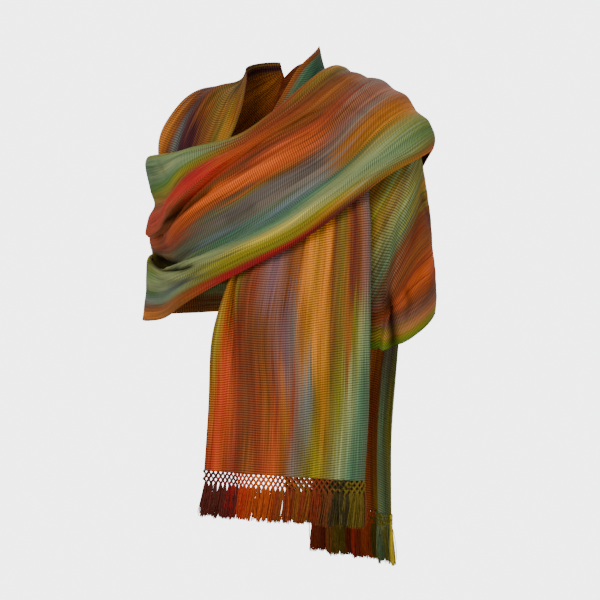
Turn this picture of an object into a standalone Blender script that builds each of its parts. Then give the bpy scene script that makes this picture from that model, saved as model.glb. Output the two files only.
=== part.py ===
"""A handwoven shawl in the form it keeps when worn, wound once about a general figure.

One rectangle of cloth makes it all. The first end hangs at the left front. From there the cloth goes up
over the left shoulder, round the back of the neck, over the right shoulder, under the right upper arm's
outer side and up across the chest to the left shoulder again, where the second end falls down the back.
Lengths are in metres unless a name or a table says millimetres. X is the wearer's left, Y the back, Z up.
The origin is the middle of the base of the neck, where the shawl is held.
"""

import math

import bpy
import numpy as np

MM = 0.001

# The cloth.
CLOTH_THICKNESS = 2.0 * MM
SEAM_GAP = 0.3 * MM
FRINGE_THICKNESS = 2.4 * MM

# How far the lines along the cloth are eased between one cut and the next.
EASING = 3

# The view in which the outlines of the front are measured: turned to the wearer's left and a little above.
VIEW_TURN = math.radians(35.0)
VIEW_TILT = math.radians(4.0)
ACROSS = np.array([math.cos(VIEW_TURN), math.sin(VIEW_TURN), 0.0])
TOWARD = np.array(
    [
        math.sin(VIEW_TURN) * math.cos(VIEW_TILT),
        -math.cos(VIEW_TURN) * math.cos(VIEW_TILT),
        math.sin(VIEW_TILT),
    ]
)
UPWARD = np.cross(ACROSS, -TOWARD)

# The plain form that the cloth is laid over, made of rounded bars. It is a guide and no piece of the shawl.
# Columns: name, then x, y, z and radius of one end, then of the other, in mm, then the sides it is on.
FORM_BLEND = 14.0 * MM
FORM_BARS = (
    ("neck", 0, 10, -30, 47, 0, -8, 130, 45, (1,)),
    ("yoke", 20, 14, -41, 48, 130, 14, -62, 47, (1, -1)),
    ("upper arm", 161, 14, -101, 50, 192, 16, -360, 42, (1, -1)),
    ("trunk", 60, 4, -150, 92, 60, 4, -900, 92, (1, -1)),
    ("chest", 55, -38, -190, 74, 50, -30, -900, 74, (1, -1)),
    ("blades", 55, 40, -160, 74, 50, 40, -900, 74, (1, -1)),
    ("left side", 118, -22, -200, 62, 112, -20, -900, 62, (1,)),
)


def form_ends():
    """Both ends and both radii of every bar, one row each, in metres."""
    rows = []
    for _, x0, y0, z0, r0, x1, y1, z1, r1, sides in FORM_BARS:
        for side in sides:
            rows.append((side * x0, y0, z0, r0, side * x1, y1, z1, r1))
    return np.array(rows, float) * MM


BARS = form_ends()


def form_distance(points):
    """How far points are from the form, and the way out of it."""
    start = BARS[:, 0:3]
    along = BARS[:, 4:7] - start
    share = ((points[:, None] - start) * along).sum(2) / (along * along).sum(1)
    share = np.clip(share, 0.0, 1.0)
    away = points[:, None] - (start + share[..., None] * along)
    length = np.maximum(np.linalg.norm(away, axis=2), 1e-9)
    distance = length - (BARS[:, 3] + share * (BARS[:, 7] - BARS[:, 3]))
    least = distance.min(1, keepdims=True)
    weight = np.exp((least - distance) / FORM_BLEND)
    total = weight.sum(1, keepdims=True)
    outward = ((weight / total)[..., None] * (away / length[..., None])).sum(1)
    size = np.maximum(np.linalg.norm(outward, axis=1, keepdims=True), 1e-6)
    return least[:, 0] - FORM_BLEND * np.log(total[:, 0]), outward / size


def settle(points, lift, rounds=12):
    """Moves points straight out or in until they lie the given lift above the form."""
    points = np.array(points, float)
    for _ in range(rounds):
        distance, outward = form_distance(points)
        points += (lift - distance)[:, None] * outward
    return points


# How far out the look along the view starts, its steps, and the part of the free way that each step takes.
LOOK_START = 0.5
LOOK_STEPS = 70
LOOK_SHARE = 0.9


def seen_points(across, up, lift):
    """Points that lie at a place of the three-quarter view, at a lift above the form.
    Past the outline they come to the nearest point of the outline."""
    start = across[:, None] * ACROSS + up[:, None] * UPWARD
    reach = np.full(len(across), LOOK_START)
    best = np.full(len(across), np.inf)
    kept = reach.copy()
    for _ in range(LOOK_STEPS):
        distance, _ = form_distance(start + reach[:, None] * TOWARD)
        left = distance - lift
        closer = left < best
        best = np.where(closer, left, best)
        kept = np.where(closer, reach, kept)
        reach = reach - np.maximum(left, 0.0) * LOOK_SHARE - 0.01 * MM
    return settle(start + kept[:, None] * TOWARD, lift)


def seen(across, up):
    """A point of a table, read in the three-quarter view, in mm."""
    return ("seen", across * MM, up * MM)


def at(x, y, z):
    """A point of a table, near the form, in mm."""
    return ("at", x * MM, y * MM, z * MM)


# Points between two controls of a cut, and points of the whole cut.
CONTROL_STEPS = 12
CUT_SAMPLES = 61


def cut_curve(controls, lift, shares=None):
    """One line of the cloth across its width, through a few points, laid on the form."""
    ratio = np.linspace(0.0, 1.0, CONTROL_STEPS + 1)
    level = np.full(CONTROL_STEPS + 1, lift)
    pieces = []
    steps = []
    for first, second in zip(controls[:-1], controls[1:]):
        if first[0] == "seen" and second[0] == "seen":
            across = first[1] + ratio * (second[1] - first[1])
            up = first[2] + ratio * (second[2] - first[2])
            line = seen_points(across, up, level)
            steps.append(math.hypot(second[1] - first[1], second[2] - first[2]))
        else:
            ends = [place(point, lift) for point in (first, second)]
            line = settle(ends[0] + ratio[:, None] * (ends[1] - ends[0]), level)
            steps.append(float(np.linalg.norm(ends[1] - ends[0])))
        pieces.append(line)
    if shares is None:
        shares = np.concatenate([[0.0], np.cumsum(steps)]) / sum(steps)
    knots = []
    points = []
    for k, line in enumerate(pieces):
        kept = CONTROL_STEPS + (k == len(pieces) - 1)
        knots.append((shares[k] + ratio * (shares[k + 1] - shares[k]))[:kept])
        points.append(line[:kept])
    knots = np.concatenate(knots)
    points = np.concatenate(points)
    wanted = np.linspace(0.0, 1.0, CUT_SAMPLES)
    curve = np.stack([np.interp(wanted, knots, points[:, k]) for k in range(3)], 1)
    return smooth_line(curve)


def smooth_line(curve, rounds=6):
    """Takes the corners off a line and keeps its ends."""
    for _ in range(rounds):
        curve[1:-1] = 0.5 * curve[1:-1] + 0.25 * (curve[:-2] + curve[2:])
    return curve


def place(point, lift):
    """Where one point of a table is on the form."""
    if point[0] == "seen":
        return seen_points(np.array([point[1]]), np.array([point[2]]), np.array([lift]))[0]
    return settle(np.array([point[1:]]), np.array([lift]))[0]


def slopes(knots, values):
    """Slopes for a smooth line through values at knots."""
    step = np.diff(knots).reshape((-1,) + (1,) * (values.ndim - 1))
    rise = np.diff(values, axis=0) / step
    slope = np.empty_like(values)
    slope[0] = rise[0]
    slope[-1] = rise[-1]
    if len(knots) > 2:
        slope[1:-1] = (rise[:-1] * step[1:] + rise[1:] * step[:-1]) / (step[1:] + step[:-1])
    return slope


def flat_slopes(knots, values):
    """Slopes that keep a line between its neighbours, level at each crest and trough."""
    step = np.diff(knots).reshape((-1,) + (1,) * (values.ndim - 1))
    rise = np.diff(values, axis=0) / step
    slope = np.zeros_like(values)
    slope[0] = rise[0]
    slope[-1] = rise[-1]
    same = rise[:-1] * rise[1:] > 0
    low = np.where(same, rise[:-1], 1.0)
    high = np.where(same, rise[1:], 1.0)
    slope[1:-1] = np.where(same, 2.0 * low * high / (low + high), 0.0)
    return slope


def smooth_between(knots, values, wanted, slope):
    """Values at wanted places on the smooth line through the knots."""
    cell = np.clip(np.searchsorted(knots, wanted, side="right") - 1, 0, len(knots) - 2)
    step = knots[cell + 1] - knots[cell]
    part = (wanted - knots[cell]) / step
    shape = (-1,) + (1,) * (values.ndim - 1)
    part = part.reshape(shape)
    step = step.reshape(shape)
    return (
        (1 + 2 * part) * (1 - part) ** 2 * values[cell]
        + part * (1 - part) ** 2 * step * slope[cell]
        + part**2 * (3 - 2 * part) * values[cell + 1]
        + part**2 * (part - 1) * step * slope[cell + 1]
    )


def cloth_grid(cuts, base_lift, folds, columns, long_cells, first, last, shares=None):
    """A stretch of cloth as rows and columns of points.
    Each cut is a line across the cloth. Each fold is a line along it, with its cells, its share of each
    cut and its lift in mm, at the cuts that columns names. first and last say which cuts bound it."""
    curves = np.stack([cut_curve(row[1:], base_lift, shares) for row in cuts])
    count = len(cuts)
    named = np.array([[row[0] for row in cuts].index(name) for name in columns], float)
    fold_share = np.array([fold[2] for fold in folds], float).T
    fold_lift = np.array([fold[3] for fold in folds], float).T * MM
    every = np.arange(count, dtype=float)
    fold_share = smooth_between(named, fold_share, every, flat_slopes(named, fold_share))
    fold_lift = smooth_between(named, fold_lift, every, flat_slopes(named, fold_lift))
    fold_places = np.arange(len(folds), dtype=float)
    wide = np.concatenate(
        [k + np.arange(folds[k + 1][1]) / folds[k + 1][1] for k in range(len(folds) - 1)]
        + [[len(folds) - 1.0]]
    )
    share = smooth_between(
        fold_places, fold_share.T, wide, flat_slopes(fold_places, fold_share.T)
    ).T
    lift = smooth_between(
        fold_places, fold_lift.T, wide, flat_slopes(fold_places, fold_lift.T)
    ).T
    places = np.linspace(0.0, 1.0, curves.shape[1])
    base = np.empty(share.shape + (3,))
    for row in range(count):
        for axis in range(3):
            base[row, :, axis] = np.interp(share[row], places, curves[row, :, axis])
    middle = base[:, base.shape[1] // 2]
    stride = np.linalg.norm(np.diff(middle, axis=0), axis=1)
    stride += np.linalg.norm(np.diff(base[:, -1], axis=0), axis=1)
    knots = np.concatenate([[0.0], np.cumsum(stride)])
    ends = [knots[[row[0] for row in cuts].index(name)] for name in (first, last)]
    long_places = np.linspace(ends[0], ends[1], long_cells + 1)
    points = smooth_between(knots, base, long_places, slopes(knots, base))
    for _ in range(EASING * long_cells // 16):
        points[1:-1] = 0.5 * points[1:-1] + 0.25 * (points[:-2] + points[2:])
    lifts = smooth_between(knots, lift, long_places, flat_slopes(knots, lift))
    settled = settle(points.reshape(-1, 3), lifts.reshape(-1))
    return settled.reshape(points.shape)


# The chest band and the second end. Each row is a line across the cloth, from its upper or inner edge to
# its lower or outer edge. seen gives a place in the three-quarter view, at gives x, y and z.
BAND_LIFT = 24.0 * MM
BAND_CUTS = (
    ("right back", at(-120, 133, -152), at(-118, 140, -250), at(-115, 140, -340)),
    ("arm behind", at(-215, 90, -128), at(-228, 85, -235), at(-215, 85, -345)),
    ("arm side", seen(-250, -99), seen(-250, -342)),
    ("arm front", seen(-168, -99), seen(-153, -331)),
    ("ribs", seen(-114, -92), seen(-83, -280)),
    ("centre", seen(-58, -72), seen(0, -251)),
    ("collar", seen(0, -34), seen(83, -190)),
    ("shoulder front", seen(48, 10), seen(146, -140)),
    ("shoulder", seen(74, 30), seen(142, 22), seen(200, -15), seen(233, -76)),
    ("shoulder behind", at(55, 85, -5), at(130, 100, -40), at(215, 108, -100)),
    ("left back", at(38, 130, -75), at(112, 132, -88), at(188, 122, -132)),
    ("blade", at(22, 140, -180), at(170, 125, -200)),
    ("waist", at(-20, 140, -340), at(140, 120, -345)),
    ("hip", at(-40, 140, -490), at(106, 125, -495)),
    ("second hem", at(-45, 140, -628), at(106, 125, -638)),
)
BAND_COLUMNS = (
    "right back",
    "arm behind",
    "arm side",
    "arm front",
    "ribs",
    "centre",
    "shoulder front",
    "left back",
)
# Columns: the fold, the cells that lead to it, its share of each cut named above, its lift there in mm.
BAND_FOLDS = (
    ("turned-in edge", 1, (0.00, 0.02, 0.10, 0.10, 0.10, 0.09, 0.09, 0.00),
     (8, 12, 17, 17, 17, 17, 16, 15)),
    ("inside of the turn", 2, (0.01, 0.02, 0.04, 0.04, 0.04, 0.03, 0.04, 0.00),
     (8, 14, 17, 17, 17, 17, 16.5, 17)),
    ("top edge", 2, (0.02, 0.02, 0.00, 0.00, 0.00, 0.00, 0.00, 0.01), (8, 18, 25, 23, 22, 22, 22, 19)),
    ("top face", 2, (0.05, 0.05, 0.04, 0.04, 0.03, 0.03, 0.04, 0.06), (9, 22, 28, 28, 27, 27, 27, 22)),
    ("green face", 2, (0.12, 0.18, 0.20, 0.17, 0.07, 0.05, 0.09, 0.12), (9, 19, 19, 24, 24, 25, 28, 26)),
    ("under the crimson", 2, (0.18, 0.26, 0.285, 0.25, 0.11, 0.08, 0.13, 0.18),
     (9, 15, 12, 17, 22, 24, 27, 24)),
    ("crimson crest", 2, (0.26, 0.33, 0.38, 0.34, 0.19, 0.10, 0.18, 0.25),
     (9, 18, 20, 32, 38, 30, 29, 26)),
    ("crimson lip", 2, (0.30, 0.38, 0.48, 0.42, 0.26, 0.125, 0.22, 0.30),
     (9, 18, 23, 30, 34, 28, 28, 24)),
    ("lip return", 1, (0.31, 0.40, 0.495, 0.430, 0.269, 0.14, 0.24, 0.32),
     (9, 17, 20, 23, 28, 26, 27, 23)),
    ("recess", 2, (0.32, 0.42, 0.510, 0.437, 0.278, 0.15, 0.26, 0.35), (9, 16, 16, 17, 23, 24, 26, 22)),
    ("orange ridge", 3, (0.38, 0.45, 0.53, 0.49, 0.36, 0.32, 0.38, 0.42),
     (9, 15, 16, 24, 30, 30, 29, 26)),
    ("first trough", 2, (0.43, 0.49, 0.55, 0.56, 0.46, 0.42, 0.48, 0.50),
     (9, 14, 14, 19, 25, 26, 25, 22)),
    ("middle wave", 2, (0.48, 0.52, 0.57, 0.63, 0.58, 0.54, 0.58, 0.58), (9, 13, 12, 16, 25, 28, 29, 26)),
    ("pocket", 2, (0.53, 0.56, 0.60, 0.73, 0.755, 0.72, 0.70, 0.67), (9, 12, 11, 11, 19, 25, 26, 24)),
    ("pocket turn", 1, (0.55, 0.57, 0.605, 0.735, 0.765, 0.76, 0.75, 0.71),
     (9, 13, 14, 18, 24, 25, 28, 24)),
    ("roll edge", 1, (0.57, 0.585, 0.615, 0.73, 0.77, 0.79, 0.79, 0.75), (9, 14, 17, 25, 28, 27, 31, 26)),
    ("roll crest", 2, (0.62, 0.64, 0.66, 0.78, 0.82, 0.83, 0.83, 0.80), (9, 16, 19, 31, 34, 30, 34, 28)),
    ("under the roll", 2, (0.76, 0.78, 0.82, 0.88, 0.90, 0.89, 0.90, 0.88),
     (9, 15, 17, 26, 30, 28, 34, 28)),
    ("stripe edge", 2, (0.92, 0.93, 0.94, 0.95, 0.95, 0.95, 0.95, 0.95), (9, 15, 19, 22, 25, 25, 32, 27)),
    ("lower edge", 1, (1.00, 1.00, 1.00, 1.00, 1.00, 1.00, 1.00, 1.00), (9, 15, 20, 20, 21, 21, 28, 24)),
)

# The first end, hanging down the front, with its slit beside the selvedge and its crisp fold at the side.
FRONT_LIFT = 14.0 * MM
FRONT_CUTS = (
    ("under the band", seen(-45, -168), seen(121, -139)),
    ("band edge", seen(-63, -226), seen(127, -215)),
    ("strip", seen(-79, -289), seen(125, -289)),
    ("upper fall", seen(-102, -358), seen(125, -358)),
    ("lower fall", seen(-107, -460), seen(123, -460)),
    ("first hem", seen(-114, -562), seen(117, -574)),
)
FRONT_COLUMNS = ("under the band", "band edge", "strip", "upper fall", "lower fall", "first hem")
FRONT_FOLDS = (
    ("selvedge", 1, (0.00, 0.00, 0.00, 0.00, 0.00, 0.00), (9, 10, 14, 15, 14, 14)),
    ("strip crest", 1, (0.04, 0.03, 0.018, 0.06, 0.06, 0.06), (9, 11, 17, 18, 15, 14)),
    ("slit", 1, (0.08, 0.06, 0.035, 0.115, 0.12, 0.12), (9, 9, 5, 8, 14, 15)),
    ("panel edge", 1, (0.12, 0.09, 0.055, 0.14, 0.17, 0.18), (9, 11, 14, 14, 16, 17)),
    ("first crest", 2, (0.22, 0.20, 0.16, 0.22, 0.27, 0.28), (9, 11, 14, 15, 18, 20)),
    ("first trough", 2, (0.36, 0.35, 0.34, 0.36, 0.40, 0.41), (8, 10, 11, 12, 12, 13)),
    ("second crest", 2, (0.50, 0.50, 0.50, 0.52, 0.54, 0.55), (9, 11, 14, 16, 17, 18)),
    ("second trough", 2, (0.66, 0.66, 0.66, 0.67, 0.68, 0.68), (10, 12, 13, 14, 14, 14)),
    ("third crest", 2, (0.82, 0.82, 0.82, 0.82, 0.82, 0.82), (10, 14, 17, 18, 19, 20)),
    ("near the fold", 2, (0.95, 0.95, 0.95, 0.95, 0.95, 0.95), (10, 17, 20, 20, 20, 20)),
    ("crisp fold", 2, (1.00, 1.00, 1.00, 1.00, 1.00, 1.00), (8, 13, 15, 15, 15, 15)),
    ("back of the fold", 2, (0.965, 0.965, 0.965, 0.965, 0.965, 0.965), (5, 8, 9, 9, 9, 9)),
    ("return", 2, (0.90, 0.88, 0.86, 0.80, 0.75, 0.74), (4, 6, 7, 7, 6, 5)),
    ("hidden selvedge", 2, (0.84, 0.80, 0.76, 0.62, 0.52, 0.50), (4, 6, 7, 6, 5, 5)),
)

# The first end going on over the left shoulder, under the band, with the strip that stands up at the neck.
SHOULDER_LIFT = 9.0 * MM
SHOULDER_CUTS = (
    ("under the band", seen(-45, -168), seen(121, -139)),
    ("chest", seen(-31, -80), seen(158, -105)),
    ("neck front", seen(0, -15), seen(196, -62)),
    ("neck side", seen(26, 30), seen(100, 8), seen(232, -60)),
    ("neck behind", at(66, 30, 62), at(110, 80, -25), at(205, 112, -85)),
    ("left back", at(45, 78, 45), at(95, 118, -50), at(130, 135, -112)),
)
SHOULDER_COLUMNS = ("under the band", "neck front", "neck side", "left back")
SHOULDER_FOLDS = (
    ("neck edge", 2, (0.00, 0.00, 0.00, 0.00), (9, 8, 6, 6)),
    ("strip", 3, (0.12, 0.12, 0.12, 0.12), (9, 8, 7, 7)),
    ("first trough", 3, (0.35, 0.35, 0.35, 0.35), (8, 7, 7, 7)),
    ("crest", 3, (0.65, 0.65, 0.65, 0.65), (9, 9, 9, 9)),
    ("outer edge", 3, (1.00, 1.00, 1.00, 1.00), (8, 11, 12, 10)),
)

# Its outer part, which falls over the left upper arm as a short sleeve with a three-cornered pleat.
SLEEVE_LIFT = 9.0 * MM
SLEEVE_CUTS = (
    ("tuck", seen(101, -146), seen(98, -380)),
    ("pleat", seen(131, -139), seen(125, -388)),
    ("ridge foot", seen(176, -107), seen(136, -386)),
    ("ridge", seen(189, -96), seen(142, -384)),
    ("outer face", seen(202, -83), seen(176, -374)),
    ("outer side", at(232, 78, -84), seen(262, -326)),
    ("arm behind", at(190, 126, -100), at(205, 122, -334)),
    ("left back", at(131, 135, -114), at(126, 140, -345)),
)
SLEEVE_COLUMNS = (
    "tuck",
    "pleat",
    "ridge foot",
    "ridge",
    "outer face",
    "outer side",
    "arm behind",
    "left back",
)
SLEEVE_FOLDS = (
    ("under the band", 1, (0.00,) * 8, (0, 0, 3, 6, 6, 6, 6, 6)),
    ("band edge", 3, (0.18,) * 8, (0, 1, 4, 13, 11, 12, 10, 6)),
    ("upper face", 3, (0.40,) * 8, (1, 2, 4, 18, 14, 16, 13, 6)),
    ("lower face", 3, (0.70,) * 8, (1, 2, 3, 21, 17, 18, 16, 6)),
    ("above the hem", 2, (0.92,) * 8, (1, 2, 2, 22, 17, 17, 15, 7)),
    ("hem", 1, (1.00,) * 8, (1, 2, 2, 20, 16, 14, 13, 7)),
)

# The cloth over the right shoulder. Its cuts spread out from the nape and its last one is tucked away
# under the band.
RIGHT_LIFT = 7.0 * MM
RIGHT_SHARES = (0.0, 0.3, 0.55, 0.8, 1.0)
RIGHT_CUTS = (
    ("nape", at(-50, 62, 38), at(-51, 68, 35), at(-52, 74, 32), at(-52, 80, 29), at(-52, 86, 25)),
    ("neck", seen(-52, 17), seen(-63, 19), seen(-74, 22), at(-62, 80, 5), at(-65, 98, -12)),
    ("high", seen(-54, -10), seen(-89, 1), seen(-108, 6), at(-95, 80, -25), at(-85, 116, -50)),
    ("slope", seen(-56, -29), seen(-112, -22), seen(-150, -25), at(-150, 95, -65), at(-100, 124, -85)),
    ("low", seen(-64, -54), seen(-128, -45), seen(-180, -55), at(-185, 95, -95), at(-112, 130, -112)),
    ("fold edge", seen(-74, -76), seen(-140, -73), seen(-200, -91), at(-205, 95, -122),
     at(-119, 133, -138)),
    ("tucked", seen(-88, -112), seen(-150, -112), seen(-213, -138), at(-212, 95, -140),
     at(-120, 133, -151)),
)
RIGHT_COLUMNS = ("nape", "neck", "high", "slope", "low", "fold edge", "tucked")
RIGHT_FOLDS = (
    ("selvedge", 2, (0.00,) * 7, (6, 7, 8, 9, 10, 10, 8)),
    ("inner face", 2, (0.13,) * 7, (6, 7, 9, 11, 11, 10, 7)),
    ("trough", 2, (0.24,) * 7, (6, 6, 5, 5, 5, 5, 5)),
    ("fold line", 2, (0.30,) * 7, (6, 7, 10, 12, 12, 12, 8)),
    ("outer trough", 2, (0.40,) * 7, (6, 6, 7, 7, 7, 7, 7)),
    ("outer crest", 2, (0.53,) * 7, (6, 7, 9, 11, 11, 10, 8)),
    ("behind", 3, (0.72,) * 7, (6, 6, 7, 7, 7, 7, 6)),
    ("back seam", 3, (1.00,) * 7, (6, 6, 6, 6, 6, 6, 6)),
)

# The cloth round the back, from the left side to the right.
BACK_LIFT = 7.0 * MM
BACK_SHARES = (0.0, 0.25, 0.5, 0.75, 1.0)
BACK_CUTS = (
    ("left", at(45, 78, 45), at(95, 118, -50), at(130, 135, -112), at(128, 140, -230),
     at(126, 140, -345)),
    ("left blade", at(22, 92, 44), at(50, 125, -55), at(62, 140, -125), at(62, 145, -240),
     at(62, 145, -352)),
    ("spine", at(-5, 95, 42), at(-10, 125, -55), at(-12, 140, -130), at(-12, 145, -245),
     at(-12, 145, -355)),
    ("right blade", at(-30, 88, 36), at(-50, 118, -40), at(-70, 138, -125), at(-72, 145, -245),
     at(-72, 145, -350)),
    ("right", at(-52, 86, 25), at(-85, 116, -50), at(-120, 133, -152), at(-118, 140, -250),
     at(-115, 140, -340)),
)
BACK_COLUMNS = ("left", "left blade", "spine", "right blade", "right")
BACK_FOLDS = (
    ("nape edge", 3, (0.00,) * 5, (6, 7, 7, 7, 6)),
    ("collar", 4, (0.16,) * 5, (6, 9, 10, 9, 6)),
    ("first swag", 5, (0.34,) * 5, (6, 8, 8, 8, 6)),
    ("seam height", 5, (0.50,) * 5, (6, 10, 12, 10, 9)),
    ("second swag", 3, (0.68,) * 5, (6, 7, 8, 7, 9)),
    ("low crest", 3, (0.84,) * 5, (6, 10, 12, 10, 9)),
    ("hem", 3, (1.00,) * 5, (7, 8, 9, 9, 9)),
)
# Below the shoulder blade the second end has folds of its own, three pleats that open toward the hem.
FALL_COLUMNS = ("left back", "blade", "waist", "hip", "second hem")
FALL_FOLDS = (
    ("inner edge", 2, (0.00, 0.00, 0.00, 0.00, 0.00), (15, 17, 20, 20, 20)),
    ("first crest", 2, (0.10, 0.10, 0.12, 0.14, 0.15), (22, 24, 27, 28, 28)),
    ("first trough", 2, (0.18, 0.20, 0.22, 0.23, 0.24), (24, 20, 17, 17, 17)),
    ("second crest", 2, (0.32, 0.34, 0.40, 0.42, 0.43), (26, 28, 30, 31, 32)),
    ("second trough", 2, (0.46, 0.48, 0.52, 0.53, 0.54), (22, 20, 17, 17, 17)),
    ("third crest", 2, (0.60, 0.62, 0.68, 0.70, 0.71), (25, 27, 29, 30, 31)),
    ("third trough", 2, (0.74, 0.76, 0.80, 0.81, 0.82), (22, 20, 18, 18, 18)),
    ("outer crest", 2, (0.88, 0.89, 0.91, 0.92, 0.92), (22, 24, 27, 28, 28)),
    ("outer edge", 2, (1.00, 1.00, 1.00, 1.00, 1.00), (18, 19, 22, 22, 22)),
)

# Columns: stretch, cuts, lift they are read at, folds, the cuts the folds are given at, cells along,
# first cut, last cut, shares of the points of a cut.
STRETCHES = (
    ("front_fall", FRONT_CUTS, FRONT_LIFT, FRONT_FOLDS, FRONT_COLUMNS, 20, "under the band",
     "first hem", None),
    ("left_shoulder", SHOULDER_CUTS, SHOULDER_LIFT, SHOULDER_FOLDS, SHOULDER_COLUMNS, 20,
     "under the band", "left back", None),
    ("left_sleeve", SLEEVE_CUTS, SLEEVE_LIFT, SLEEVE_FOLDS, SLEEVE_COLUMNS, 34, "tuck", "left back",
     None),
    ("back_stretch", BACK_CUTS, BACK_LIFT, BACK_FOLDS, BACK_COLUMNS, 14, "left", "right", BACK_SHARES),
    ("right_shoulder", RIGHT_CUTS, RIGHT_LIFT, RIGHT_FOLDS, RIGHT_COLUMNS, 14, "nape", "tucked",
     RIGHT_SHARES),
    ("chest_band", BAND_CUTS, BAND_LIFT, BAND_FOLDS, BAND_COLUMNS, 34, "right back", "left back", None),
    ("back_fall", BAND_CUTS, BAND_LIFT, FALL_FOLDS, FALL_COLUMNS, 20, "left back", "second hem", None),
)

# The fringe at each end: a knotted net along the hem, then the tied locks. Columns: fringe, the stretch it
# hangs from, its locks, its length, how far its tips swing out, the number that starts its small
# differences. Each lock takes up its share of its step along the hem.
NET_DEPTH = 17.0 * MM
LOCK_SHARE = 0.56
FRINGES = (
    ("front_fringe", "front_fall", 48, 67.0 * MM, 6.0 * MM, 11),
    ("back_fringe", "back_fall", 48, 72.0 * MM, 5.0 * MM, 12),
)

# The middle colour of each piece's stripes.
PALETTE = {
    "front_fall": (0.42, 0.20, 0.09),
    "left_shoulder": (0.12, 0.24, 0.18),
    "left_sleeve": (0.33, 0.22, 0.07),
    "back_stretch": (0.25, 0.17, 0.09),
    "right_shoulder": (0.30, 0.20, 0.05),
    "chest_band": (0.52, 0.20, 0.06),
    "back_fall": (0.20, 0.15, 0.10),
    "front_fringe": (0.36, 0.17, 0.06),
    "back_fringe": (0.26, 0.20, 0.07),
}


def grid_normals(points):
    """The way out of the cloth at each point of a grid."""
    along = np.gradient(points, axis=0)
    wide = np.gradient(points, axis=1)
    normal = np.cross(along, wide)
    return normal / np.maximum(np.linalg.norm(normal, axis=2, keepdims=True), 1e-12)


def nearest_on(line, point):
    """The place on a line of straight steps that is nearest to a point."""
    step = line[1:] - line[:-1]
    share = ((point - line[:-1]) * step).sum(1) / np.maximum((step * step).sum(1), 1e-15)
    places = line[:-1] + np.clip(share, 0.0, 1.0)[:, None] * step
    return places[np.argmin(np.linalg.norm(places - point, axis=1))]


def meet(points, edge, inner, lines):
    """Brings one edge of a grid to the edges of its neighbours, then draws it in by the seam's gap."""
    for k in range(points.shape[1]):
        found = [nearest_on(line, points[edge, k]) for line in lines]
        lengths = [np.linalg.norm(place_found - points[edge, k]) for place_found in found]
        points[edge, k] = found[int(np.argmin(lengths))]
    step = points[inner] - points[edge]
    points[edge] += step / np.linalg.norm(step, axis=1, keepdims=True) * SEAM_GAP


def close_seams(grids):
    """Puts neighbouring stretches a seam's gap apart."""
    fold = [row[0] for row in FRONT_FOLDS].index("crisp fold")
    cells = sum(row[1] for row in FRONT_FOLDS[1 : fold + 1])
    meet(grids["left_shoulder"], 0, 1, [grids["front_fall"][0, :cells]])
    back = grids["back_stretch"]
    meet(back, 0, 1, [grids["left_shoulder"][-1], grids["left_sleeve"][-1]])
    shoulder_edge = grids["right_shoulder"][:, -1]
    back[-1, : len(shoulder_edge)] = shoulder_edge
    meet(back, -1, -2, [shoulder_edge, grids["chest_band"][0]])
    meet(grids["back_fall"], 0, 1, [grids["chest_band"][-1]])


def wall_faces(rows, columns):
    """Faces of a closed wall with a grid of points on each side."""
    other = rows * columns
    faces = []
    for r in range(rows - 1):
        for c in range(columns - 1):
            a = r * columns + c
            faces.append((a, a + columns, a + columns + 1, a + 1))
            a += other
            faces.append((a, a + 1, a + columns + 1, a + columns))
    for r in range(rows - 1):
        for c, turn in ((0, True), (columns - 1, False)):
            a = r * columns + c
            face = (a, a + columns, a + columns + other, a + other)
            faces.append(face[::-1] if turn else face)
    for c in range(columns - 1):
        for r, turn in ((0, False), (rows - 1, True)):
            a = r * columns + c
            face = (a, a + 1, a + 1 + other, a + other)
            faces.append(face[::-1] if turn else face)
    return faces


def add_solid(name, points, faces, smooth):
    """Adds one closed body, its faces turned outward, in its own cloth colour."""
    points = np.asarray(points)
    corners = np.array([face[:3] for face in faces])
    a, b, c = points[corners[:, 0]], points[corners[:, 1]], points[corners[:, 2]]
    d = points[np.array([face[-1] for face in faces])]
    middle = points.mean(0)
    volume = np.einsum("ij,ij->", a - middle, np.cross(b - middle, c - middle))
    volume += np.einsum("ij,ij->", a - middle, np.cross(c - middle, d - middle))
    if volume < 0:
        faces = [face[::-1] for face in faces]
    mesh = bpy.data.meshes.new(name)
    mesh.from_pydata([tuple(point) for point in points], [], faces)
    mesh.validate()
    for polygon in mesh.polygons:
        polygon.use_smooth = smooth
    material = bpy.data.materials.new(name)
    material.use_nodes = True
    shader = material.node_tree.nodes["Principled BSDF"]
    shader.inputs["Base Color"].default_value = (*PALETTE[name], 1.0)
    shader.inputs["Roughness"].default_value = 0.8
    mesh.materials.append(material)
    body = bpy.data.objects.new(name, mesh)
    bpy.context.scene.collection.objects.link(body)
    return body


# An edge of the cloth takes the form's own way out where the two differ by less than this cosine.
LEVEL_EDGE = 0.6


def add_wall(name, points):
    """A stretch of cloth, half its thickness to each side of the grid."""
    normal = grid_normals(points)
    _, away = form_distance(points.reshape(-1, 3))
    away = away.reshape(points.shape)
    facing = (normal * away).sum(2)
    rim = np.zeros(facing.shape, bool)
    rim[[0, -1]] = True
    rim[:, [0, -1]] = True
    level = rim & (np.abs(facing) > LEVEL_EDGE)
    normal[level] = away[level] * np.sign(facing[level])[:, None]
    normal *= 0.5 * CLOTH_THICKNESS
    rows, columns = points.shape[:2]
    both = np.concatenate([(points + normal).reshape(-1, 3), (points - normal).reshape(-1, 3)])
    add_solid(name, both, wall_faces(rows, columns), True)


def line_at(line, places):
    """Points at shares of the length of a line."""
    run = np.concatenate([[0.0], np.cumsum(np.linalg.norm(np.diff(line, axis=0), axis=1))])
    wanted = np.asarray(places) * run[-1]
    return np.stack([np.interp(wanted, run, line[:, k]) for k in range(3)], 1)


# How far a lock leans to its side, as a share of its step, its least length, and the width it keeps
# halfway down and at its tip.
LOCK_LEAN = 0.18
LOCK_LEAST = 0.9
LOCK_SWING_LEAST = 0.6
LOCK_TAPER = ((0.5, 1.0), (1.0, 0.8))


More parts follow.
